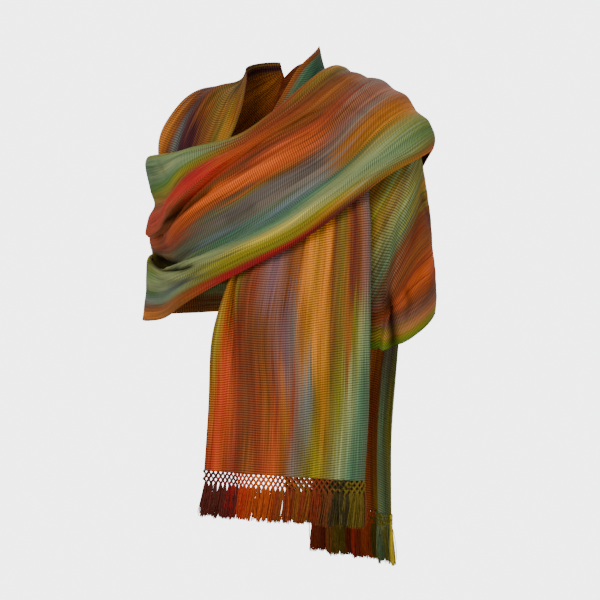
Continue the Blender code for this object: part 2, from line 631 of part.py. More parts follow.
def add_fringe(name, hem, locks, length, swing, seed):
    """A narrow strip that stands for the knotted net, with the tied locks growing from its lower edge."""
    random = np.random.default_rng(seed)
    places = [0.0]
    for k in range(locks):
        places += [(k + 0.5 - 0.5 * LOCK_SHARE) / locks, (k + 0.5 + 0.5 * LOCK_SHARE) / locks]
    places.append(1.0)
    line = line_at(hem, places)
    wide = np.gradient(line, axis=0)
    wide[:, 2] = 0.0
    wide /= np.linalg.norm(wide, axis=1, keepdims=True)
    out = np.cross(wide, [0.0, 0.0, 1.0])
    _, away = form_distance(line.mean(0, keepdims=True))
    away = away[0]
    half = 0.5 * FRINGE_THICKNESS
    down = np.array([0.0, 0.0, -1.0])
    rows = [line + down * SEAM_GAP, line + down * NET_DEPTH]
    points = [row + side * half * out for row in rows for side in (1, -1)]
    count = len(places)
    points = list(np.concatenate(points))
    top_front, top_back, low_front, low_back = (k * count for k in range(4))
    faces = []
    for c in range(count - 1):
        d = c + 1
        faces.append((top_front + c, low_front + c, low_front + d, top_front + d))
        faces.append((top_back + c, top_back + d, low_back + d, low_back + c))
        faces.append((top_front + c, top_front + d, top_back + d, top_back + c))
        if c % 2 == 0:
            faces.append((low_front + c, low_back + c, low_back + d, low_front + d))
    faces.append((top_front, top_back, low_back, low_front))
    end = count - 1
    faces.append((top_front + end, low_front + end, low_back + end, top_back + end))
    for k in range(locks):
        c = 2 * k + 1
        ring = [low_front + c, low_front + c + 1, low_back + c + 1, low_back + c]
        root = np.array([points[i] for i in ring])
        pitch = np.linalg.norm(line[c + 1] - line[c]) / LOCK_SHARE
        lean = LOCK_LEAN * random.uniform(-1.0, 1.0) * pitch * wide[c]
        lean = lean + swing * random.uniform(LOCK_SWING_LEAST, 1.0) * away
        drop = (length - NET_DEPTH) * random.uniform(LOCK_LEAST, 1.0)
        centre = root.mean(0)
        for part, thin in LOCK_TAPER:
            ring_points = centre + (root - centre) * thin + down * drop * part + lean * part**1.5
            first = len(points)
            points += list(ring_points)
            new_ring = [first, first + 1, first + 2, first + 3]
            for i in range(4):
                j = (i + 1) % 4
                faces.append((ring[i], new_ring[i], new_ring[j], ring[j]))
            ring = new_ring
        faces.append(tuple(ring[::-1]))
    add_solid(name, points, faces, False)


def build():
    """Clears the scene and adds every piece of the shawl."""
    for body in list(bpy.data.objects):
        bpy.data.objects.remove(body)
    grids = {}
    for name, cuts, lift, folds, columns, cells, first, last, shares in STRETCHES:
        grids[name] = cloth_grid(cuts, lift, folds, columns, cells, first, last, shares)
    close_seams(grids)
    for name, grid in grids.items():
        add_wall(name, grid)
    for name, stretch, locks, length, swing, seed in FRINGES:
        add_fringe(name, grids[stretch][-1], locks, length, swing, seed)


build()
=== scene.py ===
# %% [markdown]
# # A handwoven shawl, worn
# The shawl is one rectangle of striped cloth with a knotted fringe at each end. It is worn wound
# once round the shoulders: it hangs down the front, goes over the left shoulder, round the back,
# over the right shoulder, up across the chest and down the back. This lesson lays the cloth over a
# plain form, fold by fold, dyes its stripes, and knots its fringes. Lengths are in metres unless a
# name says millimetres.

import math

import bmesh
import bpy
import numpy as np
from mathutils import Matrix, Vector


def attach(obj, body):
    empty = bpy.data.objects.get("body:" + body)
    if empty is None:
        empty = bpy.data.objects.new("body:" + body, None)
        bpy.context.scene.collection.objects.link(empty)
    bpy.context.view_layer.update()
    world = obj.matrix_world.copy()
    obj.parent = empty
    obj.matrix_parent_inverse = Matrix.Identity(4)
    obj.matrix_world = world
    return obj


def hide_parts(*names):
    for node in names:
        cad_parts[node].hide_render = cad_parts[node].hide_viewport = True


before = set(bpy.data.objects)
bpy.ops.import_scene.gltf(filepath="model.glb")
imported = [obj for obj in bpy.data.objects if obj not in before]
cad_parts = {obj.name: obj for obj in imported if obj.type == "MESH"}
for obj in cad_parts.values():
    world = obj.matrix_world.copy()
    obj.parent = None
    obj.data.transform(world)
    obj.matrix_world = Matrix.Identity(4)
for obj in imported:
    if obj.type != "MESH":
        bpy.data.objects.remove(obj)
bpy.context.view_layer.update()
MM = 0.001
print("solids:", sorted(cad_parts))

# %% [markdown]
# ## The view
# The front of the shawl is read in a three-quarter view, turned 35 degrees to the wearer's left and
# a little from above. Two numbers, across and up, then name a place on it. The camera stands in the
# same direction, and its long lens keeps the picture as flat as that view. It is made first,
# because the cloth's places are worked out from it.

# %% The three-quarter view and the camera
VIEW_TURN = math.radians(35.0)
VIEW_TILT = math.radians(4.0)
ACROSS = np.array([math.cos(VIEW_TURN), math.sin(VIEW_TURN), 0.0])
TOWARD = np.array([
    math.sin(VIEW_TURN) * math.cos(VIEW_TILT),
    -math.cos(VIEW_TURN) * math.cos(VIEW_TILT),
    math.sin(VIEW_TILT),
])
UPWARD = np.cross(ACROSS, -TOWARD)
PICTURE_WIDTH = 876 * MM
PICTURE_ACROSS = 24.8 * MM
PICTURE_UP = -314.0 * MM
LENS_MM = 300.0
SENSOR_MM = 36.0


def add_camera():
    """A camera with a long lens, level with the shoulders."""
    camera = bpy.data.objects.new("camera", bpy.data.cameras.new("camera"))
    camera.data.lens = LENS_MM
    camera.data.sensor_width = SENSOR_MM
    distance = PICTURE_WIDTH * LENS_MM / SENSOR_MM
    camera.data.clip_end = 40 * distance
    middle = PICTURE_ACROSS * ACROSS + PICTURE_UP * UPWARD
    camera.location = Vector(middle + distance * TOWARD)
    camera.rotation_euler = Vector(-TOWARD).to_track_quat("-Z", "Y").to_euler()
    bpy.context.scene.collection.objects.link(camera)
    bpy.context.scene.camera = camera
    print("camera", round(distance, 2), "m away")


add_camera()

# %% [markdown]
# ## The light and the floor
# Cloth shows its folds in a large soft light from one side, with a weaker one to fill the shadows.
# The floor lies where a standing wearer's feet would be. Floor and sky look equally white to the
# camera, so no horizon shows, and both light the cloth far more gently than they look.

# %% Soft light and a white studio
FLOOR_DEPTH = 1420 * MM
FLOOR_HALF = 60.0
LAMPS = (
    # name, azimuth and elevation in degrees, distance, size, power in watts
    ("key", 12.0, 34.0, 3.2, 1.6, 84.0),
    ("fill", 85.0, 12.0, 3.6, 2.6, 34.0),
    ("back", 200.0, 40.0, 3.4, 2.2, 46.0),
)
SEEN_WHITE = 4.5
SKY_LIGHT = 0.62
FLOOR_LIGHT = 0.75


def add_lamp(name, azimuth, elevation, distance, size, power):
    """A square soft lamp that looks at the shawl's middle."""
    a, e = math.radians(azimuth), math.radians(elevation)
    out = Vector((math.sin(a) * math.cos(e), -math.cos(a) * math.cos(e), math.sin(e)))
    data = bpy.data.lights.new(name, "AREA")
    data.energy = power
    data.size = size
    lamp = bpy.data.objects.new(name, data)
    lamp.location = Vector((0.0, 0.0, PICTURE_UP)) + out * distance
    lamp.rotation_euler = (-out).to_track_quat("-Z", "Y").to_euler()
    bpy.context.scene.collection.objects.link(lamp)


def white_glow(tree, kind, output, level):
    """A white glow: bright where the camera sees it, and gentle as a light."""
    glow = tree.nodes.new(kind)
    ray = tree.nodes.new("ShaderNodeLightPath")
    scale = tree.nodes.new("ShaderNodeMapRange")
    scale.inputs["To Min"].default_value = level
    scale.inputs["To Max"].default_value = SEEN_WHITE
    glow.inputs["Color"].default_value = (1.0, 1.0, 1.0, 1.0)
    tree.links.new(ray.outputs["Is Camera Ray"], scale.inputs["Value"])
    tree.links.new(scale.outputs["Result"], glow.inputs["Strength"])
    tree.links.new(glow.outputs[0], output.inputs["Surface"])


def add_floor():
    """A white floor, one large square."""
    bm = bmesh.new()
    bmesh.ops.create_grid(bm, x_segments=1, y_segments=1, size=FLOOR_HALF)
    bmesh.ops.translate(bm, verts=bm.verts, vec=(0.0, 0.0, -FLOOR_DEPTH))
    mesh = bpy.data.meshes.new("floor")
    bm.to_mesh(mesh)
    bm.free()
    floor = bpy.data.objects.new("floor", mesh)
    bpy.context.scene.collection.objects.link(floor)
    material = bpy.data.materials.new("white floor")
    material.use_nodes = True
    tree = material.node_tree
    white_glow(tree, "ShaderNodeEmission", tree.nodes["Material Output"], FLOOR_LIGHT)
    mesh.materials.append(material)


def add_sky():
    """An even white surround."""
    world = bpy.data.worlds.new("studio")
    world.use_nodes = True
    tree = world.node_tree
    white_glow(tree, "ShaderNodeBackground", tree.nodes["World Output"], SKY_LIGHT)
    bpy.context.scene.world = world


for lamp_row in LAMPS:
    add_lamp(*lamp_row)
add_floor()
add_sky()
print(len(LAMPS), "lamps")

# %% [markdown]
# ## The form under the cloth
# Worn cloth takes its shape from what it lies on. A few rounded bars, blended into each other,
# stand for general shoulders, arms and trunk. They are never drawn. They only say how far a point
# is from the form and which way out of it is, and cloth is then laid at a chosen height above it.

# %% A plain form of rounded bars
FORM_BLEND = 14.0 * MM
FORM_BARS = (
    # name, x, y, z and radius of each end in mm, sides
    ("neck", 0, 10, -30, 47, 0, -8, 130, 45, (1,)),
    ("yoke", 20, 14, -41, 48, 130, 14, -62, 47, (1, -1)),
    ("upper arm", 161, 14, -101, 50, 192, 16, -360, 42, (1, -1)),
    ("trunk", 60, 4, -150, 92, 60, 4, -900, 92, (1, -1)),
    ("chest", 55, -38, -190, 74, 50, -30, -900, 74, (1, -1)),
    ("blades", 55, 40, -160, 74, 50, 40, -900, 74, (1, -1)),
    ("left side", 118, -22, -200, 62, 112, -20, -900, 62, (1,)),
)
BARS = np.array([
    (side * x0, y0, z0, r0, side * x1, y1, z1, r1)
    for _, x0, y0, z0, r0, x1, y1, z1, r1, sides in FORM_BARS
    for side in sides
], float) * MM


def form_distance(points):
    """How far points are from the form, and the way out of it."""
    start = BARS[:, 0:3]
    along = BARS[:, 4:7] - start
    share = ((points[:, None] - start) * along).sum(2) / (along * along).sum(1)
    share = np.clip(share, 0.0, 1.0)
    away = points[:, None] - (start + share[..., None] * along)
    length = np.maximum(np.linalg.norm(away, axis=2), 1e-9)
    distance = length - (BARS[:, 3] + share * (BARS[:, 7] - BARS[:, 3]))
    least = distance.min(1, keepdims=True)
    weight = np.exp((least - distance) / FORM_BLEND)
    total = weight.sum(1, keepdims=True)
    outward = ((weight / total)[..., None] * (away / length[..., None])).sum(1)
    size = np.maximum(np.linalg.norm(outward, axis=1, keepdims=True), 1e-6)
    return least[:, 0] - FORM_BLEND * np.log(total[:, 0]), outward / size


def ease(share):
    """A share from nought to one that starts and ends softly."""
    return share * share * (3 - 2 * share)


def settle(points, lift, rounds=12):
    """Moves points straight out or in until they lie the given lift above the form."""
    points = np.array(points, float)
    for _ in range(rounds):
        distance, outward = form_distance(points)
        points += (lift - distance)[:, None] * outward
    return points


print(len(BARS), "bars")

# %% [markdown]
# ## Places on the form
# A place on the front is easiest to read in the three-quarter view, so `seen` takes it across and
# up in that view and finds where a look along the view first meets the form. A place on the back is
# given by `at`, near the form.

# %% Reading places
LOOK_START = 0.5
LOOK_STEPS = 70
LOOK_SHARE = 0.9


def seen_points(across, up, lift):
    """Points at places of the three-quarter view. Past the outline they come to the outline."""
    start = across[:, None] * ACROSS + up[:, None] * UPWARD
    reach = np.full(len(across), LOOK_START)
    best = np.full(len(across), np.inf)
    kept = reach.copy()
    for _ in range(LOOK_STEPS):
        distance, _ = form_distance(start + reach[:, None] * TOWARD)
        left = distance - lift
        closer = left < best
        best = np.where(closer, left, best)
        kept = np.where(closer, reach, kept)
        reach = reach - np.maximum(left, 0.0) * LOOK_SHARE - 0.01 * MM
    return settle(start + kept[:, None] * TOWARD, lift)


def seen(across, up):
    """A point of a table, read in the three-quarter view, in mm."""
    return ("seen", across * MM, up * MM)


def at(x, y, z):
    """A point of a table, near the form, in mm."""
    return ("at", x * MM, y * MM, z * MM)


def place(point, lift):
    """Where one point of a table is on the form."""
    if point[0] == "seen":
        return seen_points(np.array([point[1]]), np.array([point[2]]), np.array([lift]))[0]
    return settle(np.array([point[1:]]), np.array([lift]))[0]


print("middle of the chest:", place(seen(25, -150), 0.0).round(3))

# %% [markdown]
# ## Cuts across the cloth
# A cut is one line across the cloth, where a pair of scissors would go. It runs through two to five
# places, laid on the form. Between cuts the cloth follows smooth lines. Two kinds of slope are
# used: one lets a line swing round a bend, the other keeps a fold's height between its neighbours,
# so that a trough never becomes a bump.

# %% Lines across, and smooth lines between them
CONTROL_STEPS = 12
CUT_SAMPLES = 61


def cut_curve(controls, lift, shares=None):
    """One line of the cloth across its width, through a few points, laid on the form."""
    ratio = np.linspace(0.0, 1.0, CONTROL_STEPS + 1)
    level = np.full(CONTROL_STEPS + 1, lift)
    pieces, steps = [], []
    for first, second in zip(controls[:-1], controls[1:]):
        if first[0] == "seen" and second[0] == "seen":
            across = first[1] + ratio * (second[1] - first[1])
            up = first[2] + ratio * (second[2] - first[2])
            pieces.append(seen_points(across, up, level))
            steps.append(math.hypot(second[1] - first[1], second[2] - first[2]))
        else:
            ends = [place(point, lift) for point in (first, second)]
            pieces.append(settle(ends[0] + ratio[:, None] * (ends[1] - ends[0]), level))
            steps.append(float(np.linalg.norm(ends[1] - ends[0])))
    if shares is None:
        shares = np.concatenate([[0.0], np.cumsum(steps)]) / sum(steps)
    knots, points = [], []
    for k, line in enumerate(pieces):
        kept = CONTROL_STEPS + (k == len(pieces) - 1)
        knots.append((shares[k] + ratio * (shares[k + 1] - shares[k]))[:kept])
        points.append(line[:kept])
    knots, points = np.concatenate(knots), np.concatenate(points)
    wanted = np.linspace(0.0, 1.0, CUT_SAMPLES)
    curve = np.stack([np.interp(wanted, knots, points[:, k]) for k in range(3)], 1)
    for _ in range(6):
        curve[1:-1] = 0.5 * curve[1:-1] + 0.25 * (curve[:-2] + curve[2:])
    return curve


def slopes(knots, values):
    """Slopes for a smooth line through values at knots."""
    step = np.diff(knots).reshape((-1,) + (1,) * (values.ndim - 1))
    rise = np.diff(values, axis=0) / step
    slope = np.empty_like(values)
    slope[0], slope[-1] = rise[0], rise[-1]
    if len(knots) > 2:
        slope[1:-1] = (rise[:-1] * step[1:] + rise[1:] * step[:-1]) / (step[1:] + step[:-1])
    return slope


def flat_slopes(knots, values):
    """Slopes that keep a line between its neighbours, level at each crest and trough."""
    step = np.diff(knots).reshape((-1,) + (1,) * (values.ndim - 1))
    rise = np.diff(values, axis=0) / step
    slope = np.zeros_like(values)
    slope[0], slope[-1] = rise[0], rise[-1]
    same = rise[:-1] * rise[1:] > 0
    low = np.where(same, rise[:-1], 1.0)
    high = np.where(same, rise[1:], 1.0)
    slope[1:-1] = np.where(same, 2.0 * low * high / (low + high), 0.0)
    return slope


def smooth_between(knots, values, wanted, slope):
    """Values at wanted places on the smooth line through the knots."""
    cell = np.clip(np.searchsorted(knots, wanted, side="right") - 1, 0, len(knots) - 2)
    step = knots[cell + 1] - knots[cell]
    part = (wanted - knots[cell]) / step
    shape = (-1,) + (1,) * (values.ndim - 1)
    part, step = part.reshape(shape), step.reshape(shape)
    return (
        (1 + 2 * part) * (1 - part) ** 2 * values[cell]
        + part * (1 - part) ** 2 * step * slope[cell]
        + part**2 * (3 - 2 * part) * values[cell + 1]
        + part**2 * (part - 1) * step * slope[cell + 1]
    )


print("a cut has", CUT_SAMPLES, "points")

# %% [markdown]
# ## Folds along the cloth
# A fold is a line along the cloth. A table gives, at a few named cuts, how far across the cut it
# lies and how high above the form. The same tables shape the solids, with few cells. Here each of
# their cells is divided again, fine enough for soft creases. `EASING` rounds the lines along the
# cloth by the same distance as in the solids. A row of a table holds the fold, the cells that lead
# to it, its share of each cut named, and its lift there in mm. One share alone holds for all the
# cuts.

# %% A stretch of cloth from its tables
EASING = 3


def read_folds(text):
    """Folds from a table: the name, the cells that lead to it, its shares of the cuts, its lifts in mm."""
    folds = []
    for line in text.strip().splitlines():
        name, cells, shares, lifts = line.split("|")
        lifts = np.array(lifts.split(), float)
        shares = np.broadcast_to(np.array(shares.split(), float), len(lifts))
        folds.append((name.strip(), int(cells), shares, lifts))
    return folds


def stretch(cuts, base_lift, folds, long_cells, fine_wide, fine_long, columns=None, shares=None):
    """A stretch of cloth as rows and columns of points, settled on the form, with each fold's column."""
    curves = np.stack([cut_curve(row[1:], base_lift, shares) for row in cuts])
    names = [row[0] for row in cuts]
    columns = columns or names
    named = np.array([names.index(name) for name in columns], float)
    fold_share = np.array([fold[2] for fold in folds]).T
    fold_lift = np.array([fold[3] for fold in folds]).T * MM
    every = np.arange(len(cuts), dtype=float)
    fold_share = smooth_between(named, fold_share, every, flat_slopes(named, fold_share))
    fold_lift = smooth_between(named, fold_lift, every, flat_slopes(named, fold_lift))
    fold_places = np.arange(len(folds), dtype=float)
    cells = [fold[1] * fine_wide for fold in folds[1:]]
    wide = np.concatenate([k + np.arange(n) / n for k, n in enumerate(cells)] + [[len(folds) - 1.0]])
    share, lift = (
        smooth_between(fold_places, values.T, wide, flat_slopes(fold_places, values.T)).T
        for values in (fold_share, fold_lift)
    )
    places = np.linspace(0.0, 1.0, curves.shape[1])
    base = np.empty(share.shape + (3,))
    for row in range(len(cuts)):
        for axis in range(3):
            base[row, :, axis] = np.interp(share[row], places, curves[row, :, axis])
    stride = np.linalg.norm(np.diff(base[:, base.shape[1] // 2], axis=0), axis=1)
    stride += np.linalg.norm(np.diff(base[:, -1], axis=0), axis=1)
    knots = np.concatenate([[0.0], np.cumsum(stride)])
    ends = [knots[names.index(name)] for name in (columns[0], columns[-1])]
    rows = np.linspace(ends[0], ends[1], long_cells * fine_long + 1)
    points = smooth_between(knots, base, rows, slopes(knots, base))
    for _ in range(EASING * long_cells // 16 * fine_long**2):
        points[1:-1] = 0.5 * points[1:-1] + 0.25 * (points[:-2] + points[2:])
    lifts = smooth_between(knots, lift, rows, flat_slopes(knots, lift))
    cut_rows = (knots - ends[0]) / (ends[1] - ends[0])
    fold_columns = np.concatenate([[0], np.cumsum(cells)])
    return {
        "points": settle(points.reshape(-1, 3), lifts.ravel()).reshape(points.shape),
        "cuts": dict(zip(names, cut_rows)),
        "folds": {fold[0]: int(c) for fold, c in zip(folds, fold_columns)},
        "shares": dict(zip(names, share)),
    }


print("easing", EASING)

# %% [markdown]
# ## The chest band
# The band is the last turn of the shawl. It starts at the right of the back, goes round the right
# upper arm, rises across the chest and lies over the left shoulder. Its top edge is turned in, a
# crimson roll stands out over a deep recess, and a second roll lies along the lower edge. The
# second end is cut from the same lines.

# %% Cuts and folds of the band
BAND_LIFT = 24.0 * MM
BAND_CUTS = (
    ("right back", at(-120, 133, -152), at(-118, 140, -250), at(-115, 140, -340)),
    ("arm behind", at(-215, 90, -128), at(-228, 85, -235), at(-215, 85, -345)),
    ("arm side", seen(-250, -99), seen(-250, -342)),
    ("arm front", seen(-168, -99), seen(-153, -331)),
    ("ribs", seen(-114, -92), seen(-83, -280)),
    ("centre", seen(-58, -72), seen(0, -251)),
    ("collar", seen(0, -34), seen(83, -190)),
    ("shoulder front", seen(48, 10), seen(146, -140)),
    ("shoulder", seen(74, 30), seen(142, 22), seen(200, -15), seen(233, -76)),
    ("shoulder behind", at(55, 85, -5), at(130, 100, -40), at(215, 108, -100)),
    ("left back", at(38, 130, -75), at(112, 132, -88), at(188, 122, -132)),
    ("blade", at(22, 140, -180), at(170, 125, -200)),
    ("waist", at(-20, 140, -340), at(140, 120, -345)),
    ("hip", at(-40, 140, -490), at(106, 125, -495)),
    ("second hem", at(-45, 140, -628), at(106, 125, -638)),
)
BAND_COLUMNS = (
    "right back", "arm behind", "arm side", "arm front", "ribs", "centre", "shoulder front", "left back",
)
BAND_FOLDS = read_folds("""
    turned-in edge     | 1 | 0 .02 .1 .1 .1 .09 .09 0           | 8 12 17 17 17 17 16 15
    inside of the turn | 2 | .01 .02 .04 .04 .04 .03 .04 0      | 8 14 17 17 17 17 16.5 17
    top edge           | 2 | .02 .02 0 0 0 0 0 .01              | 8 18 25 23 22 22 22 19
    top face           | 2 | .05 .05 .04 .04 .03 .03 .04 .06    | 9 22 28 28 27 27 27 22
    green face         | 2 | .12 .18 .2 .17 .07 .05 .09 .12     | 9 19 19 24 24 25 28 26
    under the crimson  | 2 | .18 .26 .285 .25 .11 .08 .13 .18   | 9 15 12 17 22 24 27 24
    crimson crest      | 2 | .26 .33 .38 .34 .19 .1 .18 .25     | 9 18 20 32 38 30 29 26
    crimson lip        | 2 | .3 .38 .48 .42 .26 .125 .22 .3     | 9 18 23 30 34 28 28 24
    lip return         | 1 | .31 .4 .495 .43 .269 .14 .24 .32   | 9 17 20 23 28 26 27 23
    recess             | 2 | .32 .42 .51 .437 .278 .15 .26 .35  | 9 16 16 17 23 24 26 22
    orange ridge       | 3 | .38 .45 .53 .49 .36 .32 .38 .42    | 9 15 16 24 30 30 29 26
    first trough       | 2 | .43 .49 .55 .56 .46 .42 .48 .5     | 9 14 14 19 25 26 25 22
    middle wave        | 2 | .48 .52 .57 .63 .58 .54 .58 .58    | 9 13 12 16 25 28 29 26
    pocket             | 2 | .53 .56 .6 .73 .755 .72 .7 .67     | 9 12 11 11 19 25 26 24
    pocket turn        | 1 | .55 .57 .605 .735 .765 .76 .75 .71 | 9 13 14 18 24 25 28 24
    roll edge          | 1 | .57 .585 .615 .73 .77 .79 .79 .75  | 9 14 17 25 28 27 31 26
    roll crest         | 2 | .62 .64 .66 .78 .82 .83 .83 .8     | 9 16 19 31 34 30 34 28
    under the roll     | 2 | .76 .78 .82 .88 .9 .89 .9 .88      | 9 15 17 26 30 28 34 28
    stripe edge        | 2 | .92 .93 .94 .95 .95 .95 .95 .95    | 9 15 19 22 25 25 32 27
    lower edge         | 1 | 1                                  | 9 15 20 20 21 21 28 24
""")
print(len(BAND_CUTS), "cuts,", len(BAND_FOLDS), "folds")

# %% [markdown]
# ## The front fall
# The first end hangs from under the band. Its selvedge turns back beside a narrow slit, and its far
# side has one crisp fold, with the rest of the width folded behind.

# %% Cuts and folds of the front fall
FRONT_LIFT = 14.0 * MM
FRONT_CUTS = (
    ("under the band", seen(-45, -168), seen(121, -139)),
    ("band edge", seen(-63, -226), seen(127, -215)),
    ("strip", seen(-79, -289), seen(125, -289)),
    ("upper fall", seen(-102, -358), seen(125, -358)),
    ("lower fall", seen(-107, -460), seen(123, -460)),
    ("first hem", seen(-114, -562), seen(117, -574)),
)
FRONT_FOLDS = read_folds("""
    selvedge         | 1 | 0                         | 9 10 14 15 14 14
    strip crest      | 1 | .04 .03 .018 .06 .06 .06  | 9 11 17 18 15 14
    slit             | 1 | .08 .06 .035 .115 .12 .12 | 9 9 5 8 14 15
    panel edge       | 1 | .12 .09 .055 .14 .17 .18  | 9 11 14 14 16 17
    first crest      | 2 | .22 .2 .16 .22 .27 .28    | 9 11 14 15 18 20
    first trough     | 2 | .36 .35 .34 .36 .4 .41    | 8 10 11 12 12 13
    second crest     | 2 | .5 .5 .5 .52 .54 .55      | 9 11 14 16 17 18
    second trough    | 2 | .66 .66 .66 .67 .68 .68   | 10 12 13 14 14 14
    third crest      | 2 | .82                       | 10 14 17 18 19 20
    near the fold    | 2 | .95                       | 10 17 20 20 20 20
    crisp fold       | 2 | 1                         | 8 13 15 15 15 15
    back of the fold | 2 | .965                      | 5 8 9 9 9 9
    return           | 2 | .9 .88 .86 .8 .75 .74     | 4 6 7 7 6 5
    hidden selvedge  | 2 | .84 .8 .76 .62 .52 .5     | 4 6 7 6 5 5
""")
print(len(FRONT_CUTS), "cuts,", len(FRONT_FOLDS), "folds")

# %% [markdown]
# ## The left shoulder and the sleeve
# The first end goes on over the left shoulder. Its inner edge stands up at the neck as a narrow
# strip. Its outer part falls over the upper arm like a short sleeve, with a three-cornered pleat in
# front.

# %% Cuts and folds of the left shoulder and the sleeve
SHOULDER_LIFT = 9.0 * MM
SHOULDER_CUTS = (
    ("under the band", seen(-45, -168), seen(121, -139)),
    ("chest", seen(-31, -80), seen(158, -105)),
    ("neck front", seen(0, -15), seen(196, -62)),
    ("neck side", seen(26, 30), seen(100, 8), seen(232, -60)),
    ("neck behind", at(66, 30, 62), at(110, 80, -25), at(205, 112, -85)),
    ("left back", at(45, 78, 45), at(95, 118, -50), at(130, 135, -112)),
)
SHOULDER_COLUMNS = ("under the band", "neck front", "neck side", "left back")
SHOULDER_FOLDS = read_folds("""
    neck edge    | 2 | 0   | 9 8 6 6
    strip        | 3 | .12 | 9 8 7 7
    first trough | 3 | .35 | 8 7 7 7
    crest        | 3 | .65 | 9 9 9 9
    outer edge   | 3 | 1   | 8 11 12 10
""")

SLEEVE_LIFT = 9.0 * MM
SLEEVE_CUTS = (
    ("tuck", seen(101, -146), seen(98, -380)),
    ("pleat", seen(131, -139), seen(125, -388)),
    ("ridge foot", seen(176, -107), seen(136, -386)),
    ("ridge", seen(189, -96), seen(142, -384)),
    ("outer face", seen(202, -83), seen(176, -374)),
    ("outer side", at(232, 78, -84), seen(262, -326)),
    ("arm behind", at(190, 126, -100), at(205, 122, -334)),
    ("left back", at(131, 135, -114), at(126, 140, -345)),
)
SLEEVE_FOLDS = read_folds("""
    under the band | 1 | 0   | 0 0 3 6 6 6 6 6
    band edge      | 3 | .18 | 0 1 4 13 11 12 10 6
    upper face     | 3 | .4  | 1 2 4 18 14 16 13 6
    lower face     | 3 | .7  | 1 2 3 21 17 18 16 6
    above the hem  | 2 | .92 | 1 2 2 22 17 17 15 7
    hem            | 1 | 1   | 1 2 2 20 16 14 13 7
""")
print(len(SHOULDER_CUTS) + len(SLEEVE_CUTS), "cuts")

# %% [markdown]
# ## The right shoulder and the back
# Over the right shoulder the cloth spreads out from the nape like a fan: its inner edge falls
# straight down, and a fold line parts that panel from the cloth on the slope. The back is one calm
# stretch with soft swags. The shares say how far across the cloth each point of a cut lies.

# %% Cuts and folds of the right shoulder and the back
RIGHT_LIFT = 7.0 * MM
RIGHT_SHARES = (0.0, 0.3, 0.55, 0.8, 1.0)
RIGHT_CUTS = (
    ("nape", at(-50, 62, 38), at(-51, 68, 35), at(-52, 74, 32), at(-52, 80, 29), at(-52, 86, 25)),
    ("neck", seen(-52, 17), seen(-63, 19), seen(-74, 22), at(-62, 80, 5), at(-65, 98, -12)),
    ("high", seen(-54, -10), seen(-89, 1), seen(-108, 6), at(-95, 80, -25), at(-85, 116, -50)),
    ("slope", seen(-56, -29), seen(-112, -22), seen(-150, -25), at(-150, 95, -65), at(-100, 124, -85)),
    ("low", seen(-64, -54), seen(-128, -45), seen(-180, -55), at(-185, 95, -95), at(-112, 130, -112)),
    ("fold edge", seen(-74, -76), seen(-140, -73), seen(-200, -91), at(-205, 95, -122),
     at(-119, 133, -138)),
    ("tucked", seen(-88, -112), seen(-150, -112), seen(-213, -138), at(-212, 95, -140),
     at(-120, 133, -151)),
)
RIGHT_FOLDS = read_folds("""
    selvedge     | 2 | 0   | 6 7 8 9 10 10 8
    inner face   | 2 | .13 | 6 7 9 11 11 10 7
    trough       | 2 | .24 | 6 6 5 5 5 5 5
    fold line    | 2 | .3  | 6 7 10 12 12 12 8
    outer trough | 2 | .4  | 6 6 7 7 7 7 7
    outer crest  | 2 | .53 | 6 7 9 11 11 10 8
    behind       | 3 | .72 | 6 6 7 7 7 7 6
    back seam    | 3 | 1   | 6 6 6 6 6 6 6
""")

BACK_LIFT = 7.0 * MM
BACK_SHARES = (0.0, 0.25, 0.5, 0.75, 1.0)
BACK_CUTS = (
    ("left", at(45, 78, 45), at(95, 118, -50), at(130, 135, -112), at(128, 140, -230),
     at(126, 140, -345)),
    ("left blade", at(22, 92, 44), at(50, 125, -55), at(62, 140, -125), at(62, 145, -240),
     at(62, 145, -352)),
    ("spine", at(-5, 95, 42), at(-10, 125, -55), at(-12, 140, -130), at(-12, 145, -245),
     at(-12, 145, -355)),
    ("right blade", at(-30, 88, 36), at(-50, 118, -40), at(-70, 138, -125), at(-72, 145, -245),
     at(-72, 145, -350)),
    ("right", at(-52, 86, 25), at(-85, 116, -50), at(-120, 133, -152), at(-118, 140, -250),
     at(-115, 140, -340)),
)
BACK_FOLDS = read_folds("""
    nape edge   | 3 | 0   | 6 7 7 7 6
    collar      | 4 | .16 | 6 9 10 9 6
    first swag  | 5 | .34 | 6 8 8 8 6
    seam height | 5 | .5  | 6 10 12 10 9
    second swag | 3 | .68 | 6 7 8 7 9
    low crest   | 3 | .84 | 6 10 12 10 9
    hem         | 3 | 1   | 7 8 9 9 9
""")
print(len(RIGHT_CUTS) + len(BACK_CUTS), "cuts")

# %% [markdown]
# ## The second end
# The second end hangs down the back from the left shoulder, in three pleats that open toward its
# hem.

# %% Folds of the second end
FALL_COLUMNS = ("left back", "blade", "waist", "hip", "second hem")
FALL_FOLDS = read_folds("""
    inner edge    | 2 | 0                   | 15 17 20 20 20
    first crest   | 2 | .1 .1 .12 .14 .15   | 22 24 27 28 28
    first trough  | 2 | .18 .2 .22 .23 .24  | 24 20 17 17 17
    second crest  | 2 | .32 .34 .4 .42 .43  | 26 28 30 31 32
    second trough | 2 | .46 .48 .52 .53 .54 | 22 20 17 17 17
    third crest   | 2 | .6 .62 .68 .7 .71   | 25 27 29 30 31
    third trough  | 2 | .74 .76 .8 .81 .82  | 22 20 18 18 18
    outer crest   | 2 | .88 .89 .91 .92 .92 | 22 24 27 28 28
    outer edge    | 2 | 1                   | 18 19 22 22 22
""")
print(len(FALL_FOLDS), "folds")

